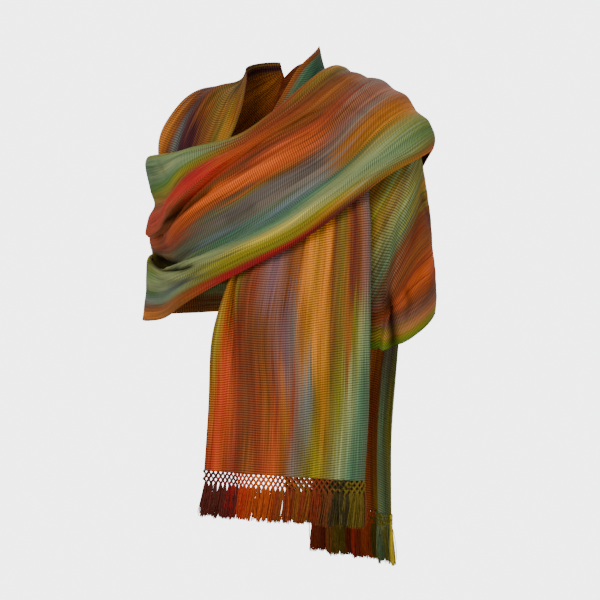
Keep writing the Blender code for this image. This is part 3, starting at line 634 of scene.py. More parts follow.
# %% [markdown]
# ## The weave's own coordinates
# Stripes and ribs belong to the cloth and not to the room, so each point gets a place in the weave:
# how far it is across the cloth from its first edge, and how far along. `cloth` gives the stripes,
# even along each fold, and `rib` gives the cross ribs, which keep their true spacing where the
# cloth fans out. On the sleeve the weave hangs at an angle to the folds, so a table of turns, in
# degrees at each cut, can turn it.

# %% Places in the weave
TURNED_WIDTH = 330.0 * MM
# Where a turned stretch comes back to its hem, as shares of its depth.
HEM_START = 0.72
HEM_BLEND = 0.2


def steps_between(points, axis):
    """Lengths of the steps along one axis of a grid."""
    return np.linalg.norm(np.diff(points, axis=axis), axis=2)


def running(steps, axis):
    """A running sum that starts at nought."""
    return np.insert(np.cumsum(steps, axis=axis), 0, 0.0, axis=axis)


def weave_places(grid, turns=None):
    """Adds across, along and rib distances, in metres, to a grid."""
    points = grid["points"]
    rows = points.shape[0]
    grid["across"] = np.repeat(running(steps_between(points, 1), 1).mean(0)[None], rows, 0)
    along = running(steps_between(points, 0), 0)
    grid["along"] = np.repeat(along.mean(1)[:, None], points.shape[1], 1)
    grid["rib"] = along
    grid["width"] = float(grid["across"].max())
    grid["turned"] = bool(turns)
    if turns:
        names = [name for name, _ in turns]
        where = [grid["cuts"][name] * (rows - 1) for name in names]
        angle = np.radians(np.interp(np.arange(rows), where, [turn for _, turn in turns]))[:, None]
        down = running(steps_between(points, 1), 1)
        ahead = steps_between(points, 0)
        lean = running(ahead * np.sin(angle[1:]), 0)
        lead = running(ahead * np.cos(angle[1:]), 0)
        share = down / down[:, -1:]
        near_hem = ease(np.clip((share - HEM_START) / HEM_BLEND, 0.0, 1.0))
        turned = lean + down * np.cos(angle)
        grid["width"] = TURNED_WIDTH
        from_hem = grid["width"] - (down[:, -1:] - down)
        grid["across"] = (1 - near_hem) * turned + near_hem * from_hem
        grid["rib"] = lead - down * np.sin(angle)


def along_at(grid, cut):
    """How far along the cloth a cut is."""
    rows = grid["points"].shape[0]
    middle = grid["along"].mean(1)
    return float(np.interp(grid["cuts"][cut] * (rows - 1), np.arange(rows), middle))


def across_at(grid, cut, share):
    """How far across the cloth a share of a cut is, as a share of the stretch's whole width."""
    line = grid["across"][0] / grid["width"]
    shares = grid["shares"].get(cut)
    if shares is None or grid["turned"]:
        return share
    first, last = int(np.argmin(shares)), int(np.argmax(shares))
    return float(np.interp(share, shares[first : last + 1], line[first : last + 1]))


print("weave places ready")

# %% [markdown]
# ## Creases laid one by one
# The tables give the large folds. Smaller creases are drawn on top, each as a soft ridge or trough
# along a short line, read in the three-quarter view or, for hidden sides, from behind. A crease
# fades out at both ends. Last comes a slight unevenness along the threads, because no handwoven
# cloth lies quite flat. Troughs are also remembered as `hollow`, from nought to one, because little
# light finds its way into them, and their dye is later darkened there as painted shade.

# %% Soft ridges and troughs
def outward_normals(points):
    """The way out of the cloth at each point of a grid."""
    normal = np.cross(np.gradient(points, axis=0), np.gradient(points, axis=1))
    normal /= np.maximum(np.linalg.norm(normal, axis=2, keepdims=True), 1e-12)
    _, away = form_distance(points.reshape(-1, 3))
    if (normal * away.reshape(points.shape)).sum() < 0:
        normal = -normal
    return normal


VIEWS = {
    "front": (ACROSS, UPWARD, TOWARD),
    "back": ((-1.0, 0.0, 0.0), (0.0, 0.0, 1.0), (0.0, 1.0, 0.0)),
    "left": ((0.0, 1.0, 0.0), (0.0, 0.0, 1.0), (1.0, 0.0, 0.0)),
    "right": ((0.0, -1.0, 0.0), (0.0, 0.0, 1.0), (-1.0, 0.0, 0.0)),
}
# The trough depth, in mm, at which a hollow's painted shade is full.
DARKEST_TROUGH = 6.0  # mm
# How fast a crease fades where the cloth turns from the view and toward its ends, and what is left there.
SIDE_FADE = 3.0
END_FADE = 4.0
END_DEPTH = 0.12
WAVES = 9


def read_creases(text):
    """Creases from a table: the view, depth and width in mm, and places in that view in mm."""
    creases = []
    for row in text.strip().splitlines():
        view, depth, width, places = row.split("|")
        line = np.array([pair.split() for pair in places.split(",")], float) * MM
        creases.append((view.strip(), float(depth), float(width), line))
    return creases


def lay_creases(grid, creases):
    """Moves the points of a grid in or out along a few lines. Depth is in mm, below nought for a trough."""
    points = grid["points"]
    grid["hollow"] = np.zeros(points.shape[:2])
    normal = outward_normals(points)
    for view, depth, width, line in creases:
        across, up, toward = VIEWS[view]
        flat = np.stack([points @ across, points @ up], 2)
        facing = np.clip((normal @ toward) * SIDE_FADE, 0.0, 1.0)
        lengths = np.linalg.norm(np.diff(line, axis=0), axis=1)
        total = lengths.sum()
        nearest = np.full(points.shape[:2], np.inf)
        run = np.zeros(points.shape[:2])
        done = 0.0
        for start, end, length in zip(line[:-1], line[1:], lengths):
            step = (end - start) / length
            part = np.clip((flat - start) @ step, 0.0, length)
            gap = np.linalg.norm(flat - start - part[..., None] * step, axis=2)
            closer = gap < nearest
            nearest = np.where(closer, gap, nearest)
            run = np.where(closer, (done + part) / total, run)
            done += length
        fade = ease(np.clip(np.minimum(run, 1.0 - run) * END_FADE, 0.0, 1.0))
        fade = END_DEPTH + (1.0 - END_DEPTH) * fade
        near = np.exp(-(nearest / (width * MM)) ** 2)
        points += normal * (depth * MM * near * fade * facing)[..., None]
        # Painted shade: how deep each point lies in a trough, to darken its dye there.
        grid["hollow"] += np.clip(-depth / DARKEST_TROUGH, 0.0, 1.0) * near * fade * facing


def uneven(grid, height, seed):
    """Soft unevenness, long along the threads and short across them."""
    random = np.random.default_rng(seed)
    across, along = grid["across"], grid["along"]
    wave = np.zeros_like(across)
    for _ in range(WAVES):
        over_across = random.uniform(12.0, 60.0)
        over_along = random.uniform(-5.0, 5.0)
        start = random.uniform(0.0, 2 * math.pi)
        wander = 1.5 * np.sin(2 * math.pi * along * random.uniform(1.0, 3.0) + start)
        wave += np.sin(2 * math.pi * (over_across * across + over_along * along) + wander)
    grid["points"] += outward_normals(grid["points"]) * (wave / WAVES * height * MM)[..., None]


print(len(VIEWS), "ways to read a crease")

# %% [markdown]
# ## From a grid to a sheet of cloth
# A grid from `bmesh.ops.create_grid` has the right rows and columns, and only its points move. The
# places in the weave and the hollows, which carry painted shade, become UV maps. A Solidify modifier
# gives the sheet its thickness, half to each side.

# %% Making a sheet
SHEET_THICKNESS = 1.0 * MM
SHEETS = {}


def make_sheet(name, grid, material):
    """A thin sheet of cloth on a grid of points."""
    points = grid["points"]
    rows, columns = points.shape[:2]
    bm = bmesh.new()
    bmesh.ops.create_grid(bm, x_segments=columns - 1, y_segments=rows - 1, size=0.5)
    bm.verts.ensure_lookup_table()
    for vert, place_now in zip(bm.verts, points.reshape(-1, 3)):
        vert.co = place_now
    normal = np.cross(points[0, 1] - points[0, 0], points[1, 0] - points[0, 0])
    if normal @ outward_normals(points)[0, 0] < 0:
        bmesh.ops.reverse_faces(bm, faces=bm.faces)
    mesh = bpy.data.meshes.new(name)
    bm.to_mesh(mesh)
    bm.free()
    mesh.shade_smooth()
    corner = np.empty(len(mesh.loops), np.int64)
    mesh.loops.foreach_get("vertex_index", corner)
    # The hollows carry the painted shade of troughs to the material.
    hollow = np.clip(grid["hollow"], 0.0, 1.0)
    for layer, ahead in (("cloth", grid["along"]), ("rib", grid["rib"]), ("hollow", hollow)):
        uv = mesh.uv_layers.new(name=layer)
        both = np.stack([grid["across"].ravel(), ahead.ravel()], 1)[corner]
        uv.data.foreach_set("uv", both.ravel().astype(np.float32))
    mesh.materials.append(material)
    sheet = bpy.data.objects.new(name, mesh)
    bpy.context.scene.collection.objects.link(sheet)
    wall = sheet.modifiers.new("thickness", "SOLIDIFY")
    wall.thickness = SHEET_THICKNESS
    wall.offset = 0.0
    SHEETS[name] = sheet
    area = sum(face.area for face in mesh.polygons)
    print(name, rows, "x", columns, "points,", round(area, 3), "square metres")


# %% [markdown]
# ## The dyes
# The warp is dyed in long soft changes, so a stripe drifts from one colour to another along the
# cloth. The dyes are named here once, as a painter would see them. A table of dyes is written as
# text: a cut, and then the stripes with how far across the cut each lies, from nought at the first
# edge to one at the last.

# %% Named dyes
DYES = {
    "sage": (0.63, 0.66, 0.45), "sea green": (0.50, 0.60, 0.44), "teal": (0.35, 0.50, 0.38),
    "deep teal": (0.20, 0.36, 0.28), "steel blue": (0.44, 0.50, 0.50),
    "blue grey": (0.48, 0.50, 0.47), "green": (0.36, 0.50, 0.15), "olive green": (0.56, 0.54, 0.15),
    "olive": (0.50, 0.43, 0.10), "dark olive": (0.30, 0.27, 0.09),
    "yellow olive": (0.66, 0.60, 0.14), "yellow": (0.98, 0.86, 0.34), "gold": (0.80, 0.54, 0.12),
    "ochre": (0.66, 0.42, 0.07), "gold brown": (0.62, 0.37, 0.10), "brown": (0.51, 0.31, 0.14),
    "dark brown": (0.28, 0.15, 0.07), "rust": (0.60, 0.28, 0.06), "orange": (0.80, 0.38, 0.07),
    "bright orange": (0.94, 0.45, 0.08), "golden orange": (0.93, 0.56, 0.10),
    "red orange": (0.80, 0.28, 0.07), "scarlet": (0.74, 0.20, 0.08), "crimson": (0.66, 0.10, 0.08),
    "maroon": (0.43, 0.21, 0.14), "red brown": (0.57, 0.27, 0.13), "plum": (0.32, 0.18, 0.20),
    "mauve": (0.58, 0.40, 0.34), "mauve grey": (0.50, 0.45, 0.40), "grey mauve": (0.44, 0.40, 0.37),
    "pink tan": (0.76, 0.48, 0.32), "purple": (0.54, 0.40, 0.42), "tan": (0.70, 0.44, 0.18),
    "slate": (0.40, 0.42, 0.32),
}
PURER = 1.1
DEEPER = 0.55
FAINTEST = 0.17


def linear(dye):
    """A dye's colour as the renderer counts light, purer and deeper, as the film lightens and pales."""
    red, green, blue = DYES[dye]
    grey = 0.3 * red + 0.6 * green + 0.1 * blue
    pure = [min(max(grey + (c - grey) * PURER, FAINTEST), 1.0) for c in (red, green, blue)]
    return tuple(DEEPER * ((c + 0.055) / 1.055) ** 2.4 for c in pure) + (1.0,)


def read_stripes(text):
    """Stripes from a list: how far across the cut each lies, and its dye."""
    parts = [part.split(maxsplit=1) for part in text.split(",")]
    return [(float(where), dye.strip()) for where, dye in parts]


def read_dyes(text):
    """Rows of stripes from a table: the cuts, a colon, the stripes, and a semicolon between rows."""
    rows = []
    for row in text.split(";"):
        cuts, stripes = row.split(":")
        rows += [(cut.strip(), read_stripes(stripes)) for cut in cuts.split("/")]
    return rows


print(len(DYES), "dyes")

# %% [markdown]
# ## Adding and joining nodes
# Both materials are made of many small nodes. A class keeps each step to one line: a number goes
# into a socket as its value, and a socket is joined to it.

# %% A short way to make nodes
class Nodes:
    """A short way to add and join the nodes of one material."""

    def __init__(self, name):
        self.material = bpy.data.materials.new(name)
        self.material.use_nodes = True
        self.tree = self.material.node_tree
        self.shader = self.tree.nodes["Principled BSDF"]

    def add(self, kind, values=(), **settings):
        """A node with its settings and its inputs by place: numbers are set, sockets are joined."""
        node = self.tree.nodes.new(kind)
        for key, value in settings.items():
            setattr(node, key, value)
        for key, value in dict(values).items():
            if isinstance(value, bpy.types.NodeSocket):
                self.tree.links.new(value, node.inputs[key])
            else:
                node.inputs[key].default_value = value
        return node

    def math(self, operation, first, second=0.0, third=0.0):
        """A sum, product or other simple step on numbers."""
        values = {0: first, 1: second, 2: third}
        return self.add("ShaderNodeMath", values, operation=operation).outputs[0]

    def places(self, layer):
        """The two numbers of a UV map."""
        uv = self.add("ShaderNodeUVMap", uv_map=layer)
        parts = self.add("ShaderNodeSeparateXYZ", {0: uv.outputs[0]})
        return parts.outputs[0], parts.outputs[1]

    def wave(self, where):
        """A row of rounded crests, one to a unit."""
        return self.math("ABSOLUTE", self.math("SINE", self.math("MULTIPLY", where, math.pi)))

    def noise(self, weave, waves, seed, detail):
        """Noise over the weave, between about nought and one."""
        parts = [self.math("MULTIPLY", place_now, often) for place_now, often in zip(weave, waves)]
        vector = self.add("ShaderNodeCombineXYZ", {0: parts[0], 1: parts[1], 2: seed}).outputs[0]
        values = {"Vector": vector, "Scale": 1.0, "Detail": detail}
        return self.add("ShaderNodeTexNoise", values).outputs[0]

    def ramp(self, place_now, stops):
        """A Color Ramp from a list of places and dyes."""
        node = self.add("ShaderNodeValToRGB", {0: place_now})
        marks = node.color_ramp.elements
        while len(marks) > 1:
            marks.remove(marks[-1])
        for k, (where, dye) in enumerate(sorted(stops, key=lambda stop: stop[0])):
            mark = marks[0] if k == 0 else marks.new(min(max(where, 0.0), 1.0))
            mark.position = min(max(where, 0.0), 1.0)
            mark.color = linear(dye)
        return node.outputs[0]

    def mix(self, share, first, second, blend="MIX"):
        """One colour over another."""
        values = {0: share, 6: first, 7: second}
        return self.add("ShaderNodeMix", values, data_type="RGBA", blend_type=blend).outputs[2]

    def colour(self, colour, value):
        """Gives the shader and its highlights a colour at some brightness."""
        grey = self.add("ShaderNodeCombineColor", {0: value, 1: value, 2: value})
        colour = self.mix(1.0, colour, grey.outputs[0], "MULTIPLY")
        self.tree.links.new(colour, self.shader.inputs["Base Color"])
        self.tree.links.new(colour, self.shader.inputs["Specular Tint"])
        return colour


print("node steps:", [name for name in vars(Nodes) if not name.startswith("_")])

# %% [markdown]
# ## Cloth that is striped along its length
# Each station is a place along the cloth with its own row of stripes, held in a Color Ramp. Between
# stations one row fades into the next. Two noises, fine across and long along, push the place that
# is looked up: the first makes stripe edges feathery, the second lets single threads change colour
# early or late. A rounded wave across the warp darkens the gaps between ribs with painted shade,
# lightens their crests with a painted highlight and drives the bump, and a finer one shows the single
# threads. Hollows are darker with painted shade. Highlights and sheen take the colour of the yarn.

# %% The striped material
RIB_PITCH = 3.5 * MM
THREAD_PITCH = 1.15 * MM
EDGE_FEATHER = 12.8 * MM
FADE_FEATHER = 276.0 * MM
# Noises, as waves to the metre across the warp and along it.
EDGE_NOISE = (420.0, 6.0)
FADE_NOISE = (520.0, 5.0)
STREAK_NOISE = (1500.0, 9.0)
BROAD_NOISE = (160.0, 6.0)
WANDER_NOISE = (24.0, 24.0)
BEAT_NOISE = (40.0, 9.0)
# How much a noise changes the brightness, and the brightness that it starts from.
STREAK_LIGHT = (1.5, 0.25)
BROAD_LIGHT = (1.1, 0.45)
# Painted shade in the gaps between ribs and a painted highlight on their crests; the beat noise changes how
# deep the painted shade goes.
RIB_WANDER = 0.35
RIB_ROUND = 0.9
RIB_CREST_HIGHLIGHT = 1.22
RIB_BEAT = 0.8
# How much painted shade darkens the deepest hollows.
PAINTED_TROUGH_SHADE = 0.88
THREAD_HEIGHT = 0.22


def striped_cloth(name, grid, stations, seed, rib_dark=0.3, rib_pitch=RIB_PITCH, bright=1.0):
    """The material of one stretch: a row of stripes at each station along it."""
    n = Nodes(name)
    weave = across, along = n.places("cloth")
    _, rib_along = n.places("rib")
    _, hollow = n.places("hollow")
    edge = n.noise(weave, EDGE_NOISE, seed, 3.0)
    late = n.noise(weave, FADE_NOISE, seed + 7.0, 3.0)
    moved_across = n.math("MULTIPLY_ADD", n.math("SUBTRACT", edge, 0.5), EDGE_FEATHER, across)
    moved_along = n.math("MULTIPLY_ADD", n.math("SUBTRACT", late, 0.5), FADE_FEATHER, along)
    share = n.math("DIVIDE", moved_across, grid["width"])
    colour, before = None, None
    for cut, stripes in stations:
        here = along_at(grid, cut)
        row = n.ramp(share, [(across_at(grid, cut, where), dye) for where, dye in stripes])
        if colour is None:
            colour = row
        else:
            values = {0: moved_along, 1: before, 2: here}
            part = n.add("ShaderNodeMapRange", values, interpolation_type="SMOOTHSTEP")
            colour = n.mix(part.outputs[0], colour, row)
        before = here
    value = n.math("MULTIPLY_ADD", n.noise(weave, STREAK_NOISE, seed + 13.0, 1.0), *STREAK_LIGHT)
    broad = n.noise(weave, BROAD_NOISE, seed + 21.0, 2.0)
    change, start = (bright * part for part in BROAD_LIGHT)
    value = n.math("MULTIPLY", value, n.math("MULTIPLY_ADD", broad, change, start))
    wander = n.noise(weave, WANDER_NOISE, seed + 31.0, 1.0)
    ribs = n.math("MULTIPLY_ADD", wander, RIB_WANDER, n.math("DIVIDE", rib_along, rib_pitch))
    crest = n.math("POWER", n.wave(ribs), RIB_ROUND)
    beat = n.noise(weave, BEAT_NOISE, seed + 41.0, 2.0)
    # Painted shade in the gaps between ribs, painted highlight on their crests.
    dark = n.math("MULTIPLY_ADD", beat, -RIB_BEAT, rib_dark + 0.5 * RIB_BEAT)
    rib_shade_and_highlight = n.math("MULTIPLY_ADD", crest, n.math("SUBTRACT", RIB_CREST_HIGHLIGHT, dark), dark)
    value = n.math("MULTIPLY", value, rib_shade_and_highlight)
    # Painted shade in crease hollows.
    value = n.math("MULTIPLY", value, n.math("MULTIPLY_ADD", hollow, -PAINTED_TROUGH_SHADE, 1.0))
    colour = n.colour(colour, value)
    half = n.math("MULTIPLY", n.math("FLOOR", ribs), 0.5)
    thread = n.wave(n.math("ADD", n.math("DIVIDE", across, THREAD_PITCH), half))
    height = n.math("MULTIPLY_ADD", thread, THREAD_HEIGHT, crest)
    bump = n.add("ShaderNodeBump", {"Height": height, "Strength": 0.75, "Distance": 0.55 * MM})
    n.tree.links.new(bump.outputs[0], n.shader.inputs["Normal"])
    n.tree.links.new(colour, n.shader.inputs["Sheen Tint"])
    n.shader.inputs["Roughness"].default_value = 0.72
    n.shader.inputs["Specular IOR Level"].default_value = 0.2
    n.shader.inputs["Sheen Weight"].default_value = 0.08
    n.shader.inputs["Sheen Roughness"].default_value = 0.45
    return n.material


print("ribs every", RIB_PITCH / MM, "mm")

# %% [markdown]
# ## Laying and joining the stretches
# Each stretch lies on the form at its own lifts, with its cells along it, and how finely each is
# divided across and along. Where two stretches meet, the edge of one is brought to the edge of the
# other, and the rows next to it follow, so that the cloth goes on without a step.

# %% Laying and joining
TAUT_ROUNDS = 500
TAUT_MOST = 13.0 * MM
SEAM_ROWS = 30
JOIN_ROWS = 24


def nearest_on(lines, point):
    """The place on some lines that is nearest to a point."""
    found, least = point, np.inf
    for line in lines:
        step = line[1:] - line[:-1]
        share = ((point - line[:-1]) * step).sum(1) / np.maximum((step * step).sum(1), 1e-15)
        places = line[:-1] + np.clip(share, 0.0, 1.0)[:, None] * step
        gaps = np.linalg.norm(places - point, axis=1)
        if gaps.min() < least:
            found, least = places[np.argmin(gaps)], gaps.min()
    return found


def join_edge(points, lines, reach=JOIN_ROWS, at_end=False):
    """Brings the first or last row of a grid to its neighbours' edges, and lets the next rows follow."""
    view = points[::-1] if at_end else points
    moved = np.array([nearest_on(lines, point) for point in view[0]]) - view[0]
    view[:reach] += moved[None] * ease(1.0 - np.arange(reach) / reach)[:, None, None]


def draw_taut(grid, first, last):
    """Lets the cloth span a hollow between two cuts, as cloth under tension does."""
    rows = grid["points"].shape[0] - 1
    start, end = (int(round(grid["cuts"][name] * rows)) for name in (first, last))
    part = grid["points"][start : end + 1]
    before = part[1:-1].copy()
    _, away = form_distance(before.reshape(-1, 3))
    away = away.reshape(before.shape)
    for _ in range(TAUT_ROUNDS):
        pull = 0.5 * (part[:-2] + part[2:]) - part[1:-1]
        pull = np.maximum((pull * away).sum(2), 0.0)
        rest = ((part[1:-1] - before) * away).sum(2)
        part[1:-1] += away * np.minimum(pull, np.maximum(TAUT_MOST - rest, 0.0))[..., None]


def follow_seam(grid, edge, seam_column):
    """Brings the upper part of a grid's last row to its neighbour's edge, point for point."""
    points = grid["points"]
    wanted = np.linspace(0.0, len(edge) - 1.0, seam_column + 1)
    places = np.stack([np.interp(wanted, np.arange(len(edge)), edge[:, k]) for k in range(3)], 1)
    moved = np.zeros_like(points[-1])
    moved[: seam_column + 1] = places - points[-1, : seam_column + 1]
    for row in range(SEAM_ROWS):
        points[-1 - row] += moved * (1.0 - row / SEAM_ROWS) ** 2


def weave_sheet(name, grid, material, dyes, creases, seed, height=0.8, turns=None, **look):
    """Creases, weaves and dyes one stretch. `height` is that of the unevenness, in mm."""
    lay_creases(grid, creases)
    weave_places(grid, turns)
    uneven(grid, height, 2 * seed + 1)
    make_sheet(name, grid, striped_cloth(material, grid, dyes, float(seed), **look))


front = stretch(FRONT_CUTS, FRONT_LIFT, FRONT_FOLDS, 20, 7, 11)
shoulder = stretch(SHOULDER_CUTS, SHOULDER_LIFT, SHOULDER_FOLDS, 20, 8, 6, SHOULDER_COLUMNS)
sleeve = stretch(SLEEVE_CUTS, SLEEVE_LIFT, SLEEVE_FOLDS, 34, 12, 5)
right = stretch(RIGHT_CUTS, RIGHT_LIFT, RIGHT_FOLDS, 14, 9, 10, shares=RIGHT_SHARES)
back = stretch(BACK_CUTS, BACK_LIFT, BACK_FOLDS, 14, 7, 12, shares=BACK_SHARES)
band = stretch(BAND_CUTS, BAND_LIFT, BAND_FOLDS, 34, 6, 6, BAND_COLUMNS)
fall = stretch(BAND_CUTS, BAND_LIFT, FALL_FOLDS, 20, 8, 11, FALL_COLUMNS)
draw_taut(band, "arm side", "ribs")
right_edge = right["points"][:, -1]
follow_seam(back, right_edge, back["folds"]["seam height"])
join_edge(back["points"], [right_edge, band["points"][0]], at_end=True)
join_edge(shoulder["points"], [front["points"][0, : front["folds"]["crisp fold"] + 1]])
join_edge(back["points"], [shoulder["points"][-1], sleeve["points"][-1]])
join_edge(fall["points"], [band["points"][-1]], reach=40)
print("seven stretches laid")

# %% [markdown]
# ## The dyes of the chest band
# Each row of the table is a place along the band. The first rows are round the back of the right
# arm. The orange and crimson of the chest fade into gold, mauve and brown on the left shoulder.

# %% The band's dyes and creases
# At the arm front the slate and dark olive beside the pocket, at .65 to .7, are partly the cloth's grey olive
# and partly painted shade.
BAND_DYES = read_dyes("""
    right back: 0 olive, .2 sea green, .35 gold brown, .5 rust, .65 orange, .8 olive green, .9 sage,
        1 gold brown;
    arm behind: 0 sage, .12 sea green, .22 yellow olive, .3 gold brown, .38 red orange, .5 rust,
        .58 brown, .66 yellow olive, .75 green, .85 sage, .9 brown, 1 gold brown;
    arm side: 0 sage, .08 teal, .15 sea green, .2 green, .25 yellow olive, .3 gold brown,
        .35 red orange, .5 orange, .56 brown, .62 yellow olive, .68 green, .75 sage, .81 green,
        .855 blue grey, .9 brown, .96 golden orange, 1 gold brown;
    arm front: 0 yellow olive, .04 sea green, .1 sage, .14 sea green, .175 green, .21 yellow olive,
        .25 gold brown, .32 gold brown, .35 red orange, .385 red orange, .41 brown, .44 gold brown,
        .48 rust, .53 orange, .575 rust, .61 brown, .65 slate, .7 dark olive, .725 sage, .79 sage,
        .835 sage, .868 blue grey, .9 sea green, .94 gold brown, 1 ochre;
    ribs: 0 olive green, .05 sea green, .08 olive green, .11 gold brown, .135 crimson, .2 crimson,
        .25 scarlet, .29 red orange, .305 brown, .32 gold brown, .335 orange, .355 bright orange,
        .4 bright orange, .44 brown, .5 slate, .57 grey mauve, .64 slate, .68 steel blue, .725 teal,
        .76 sea green, .81 sage, .868 olive green, .93 yellow olive, .955 crimson, 1 crimson;
    centre: 0 olive green, .03 gold brown, .07 rust, .13 orange, .17 rust, .22 brown, .27 rust,
        .33 orange, .38 bright orange, .43 orange, .46 olive, .51 grey mauve, .6 mauve grey,
        .66 slate, .71 steel blue, .77 teal, .81 sea green, .84 yellow, .89 yellow olive,
        .945 olive green, .963 crimson, 1 crimson;
    collar: 0 rust, .06 brown, .12 rust, .2 gold brown, .26 rust, .34 orange, .43 orange, .49 brown,
        .55 grey mauve, .63 mauve grey, .7 blue grey, .75 teal, .79 sage, .86 sage, .9 yellow olive,
        .94 gold, .975 maroon, 1 maroon;
    shoulder front: 0 ochre, .08 olive, .15 brown, .22 gold brown, .3 brown, .37 rust, .43 brown,
        .49 mauve, .55 mauve grey, .6 tan, .66 ochre, .73 olive, .79 sage, .86 sea green, .93 sage,
        .97 olive, 1 gold;
    shoulder: 0 ochre, .08 gold, .14 olive, .21 brown, .3 gold brown, .38 mauve grey, .47 mauve,
        .53 pink tan, .6 gold brown, .7 golden orange, .78 olive green, .88 green, .95 olive,
        1 orange;
    left back: 0 olive, .12 gold brown, .22 brown, .34 mauve grey, .45 orange, .56 rust, .68 plum,
        .78 teal, .88 olive green, 1 gold
""")
BAND_CREASES = read_creases("""
    front |  1.5 | 2.6 | -72 -131, -20 -98, 24.8 -80.3, 61.3 -62.8
    front | -2.4 | 2.6 | -72 -124, -20 -90, 10.2 -72, 73 -39.4
    front |   -2 | 2.2 | -64 -109, -20 -84, 30 -52, 80 -26
    front | -1.8 | 2.2 | -82 -142, -40 -118, 16 -84, 62 -66
    front |  1.2 |   2 | -121 -172.3, -90 -158, -55.5 -135.8, -20 -116
    front | -2.2 |   9 | -90 -204, -60 -190, -33.6 -175.2
    front |  1.8 |   9 | -48.2 -219, 10 -203, 83.2 -175.2
    front | -0.9 | 1.8 | 80 -163, 130 -136, 192.7 -94.9
    front |  0.8 |   2 | 84 -157, 134 -129, 190 -90
    front | -1.5 |   4 | -197 -299.3, -140 -284, -99.3 -258.4
    front | -1.4 |   3 | -113.9 -267.2, -150.4 -292, -178 -305
    front |  1.4 | 2.4 | -108 -271, -146 -297
    front |   -9 |   5 | -204 -236, -190 -254, -176 -266, -150 -270, -122 -262
    front |   -6 |   7 | -210 -244, -196 -254, -182 -262, -166 -265, -150 -264
    front |   -6 |   9 | -202 -248, -190 -255, -176 -262, -160 -265
    front |  3.5 |   6 | -196 -262, -176 -280, -146 -284, -112 -274, -80 -258
    front | -4.5 |   4 | -186 -208, -160 -196, -130 -172, -96 -146
    front |  2.5 |   5 | -190 -190, -160 -176, -130 -156, -96 -130
    front |   -3 |   7 | -176 -214, -180 -230, -170 -244
    front |  1.3 | 2.2 | -170.8 -106.6, -184 -120, -194.2 -135.8
    front |   -1 |   3 | -186 -104, -178 -122, -166 -140
    front | -0.7 |   5 | 60 12, 110 -10, 150 -34
    front |  0.6 |   6 | 84 10, 130 -12, 176 -36
    front | -0.9 |   4 | 58 -30, 112 -44, 160 -58
    front | -1.5 |   7 | -40 -150, 20 -124, 70 -110
    back  |   -2 |   7 | 130 -150, 170 -185, 205 -200
    back  |  1.8 |   8 | 140 -210, 180 -240, 214 -262
    back  | -1.6 |   6 | 128 -290, 170 -300, 206 -322
    right | -1.8 |   6 | -60 -150, -20 -176, 30 -190
    right |  1.5 |   7 | -90 -240, -40 -262, 10 -270
""")
weave_sheet("chest_band_cloth", band, "band weave", BAND_DYES, BAND_CREASES, 1)

# %% [markdown]
# ## The front fall
# The colours of the first end run straight down. They lie in the same order all the way, and drift
# as they go.

# %% The front fall's dyes and creases
FRONT_DYES = read_dyes("""
    under the band / strip: 0 gold brown, .03 gold, .07 olive, .11 brown, .19 red brown, .25 mauve,
        .31 purple, .37 mauve, .42 brown, .5 gold brown, .54 golden orange, .62 gold,
        .69 golden orange, .735 brown, .79 olive, .84 gold brown, .87 maroon, .92 brown, .95 mauve,
        1 grey mauve;
    upper fall: 0 olive, .04 yellow olive, .08 orange, .12 rust, .17 red brown, .25 brown,
        .34 brown, .4 mauve, .46 purple, .52 mauve grey, .57 tan, .62 gold, .68 golden orange,
        .72 gold, .76 brown, .81 olive, .86 gold brown, .9 olive green, .95 sage, 1 teal;
    lower fall: 0 ochre, .04 orange, .09 red orange, .14 orange, .19 rust, .25 brown, .31 red brown,
        .37 gold brown, .43 rust, .49 tan, .54 rust, .58 mauve grey, .63 blue grey, .67 olive,
        .72 gold, .77 olive, .82 olive green, .88 sage, .94 teal, 1 slate;
    first hem: 0 rust, .05 red orange, .1 orange, .15 rust, .21 red brown, .28 gold brown, .35 rust,
        .43 orange, .5 gold brown, .56 mauve grey, .62 olive, .69 yellow olive, .76 olive, .83 sage,
        .9 teal, 1 slate
""")
FRONT_CREASES = read_creases("""
    front | -1.6 |   8 | -60 -300, -66 -380, -58 -450
    front |  1.6 |   9 | -30 -360, -36 -450, -30 -540
    front | -1.5 |   7 | 2 -300, -4 -370, 4 -430
    front |  1.4 |   8 | 32 -250, 28 -340, 34 -420
    front | -1.8 |   8 | 60 -400, 54 -480, 60 -555
    front |  1.2 |   5 | 92 -260, 96 -340, 92 -420
    front | -1.2 |   4 | 106 -300, 104 -380, 108 -460
    front |  1.3 |   6 | -84 -440, -88 -500, -80 -560
""")
weave_sheet("front_fall_cloth", front, "front weave", FRONT_DYES, FRONT_CREASES, 2, bright=1.15)

# %% [markdown]
# ## The left shoulder and the sleeve
# The neck strip shows a brown selvedge beside deep green. On the sleeve the cloth hangs at an
# angle, so its stripes climb toward the back and its ribs run down across them.

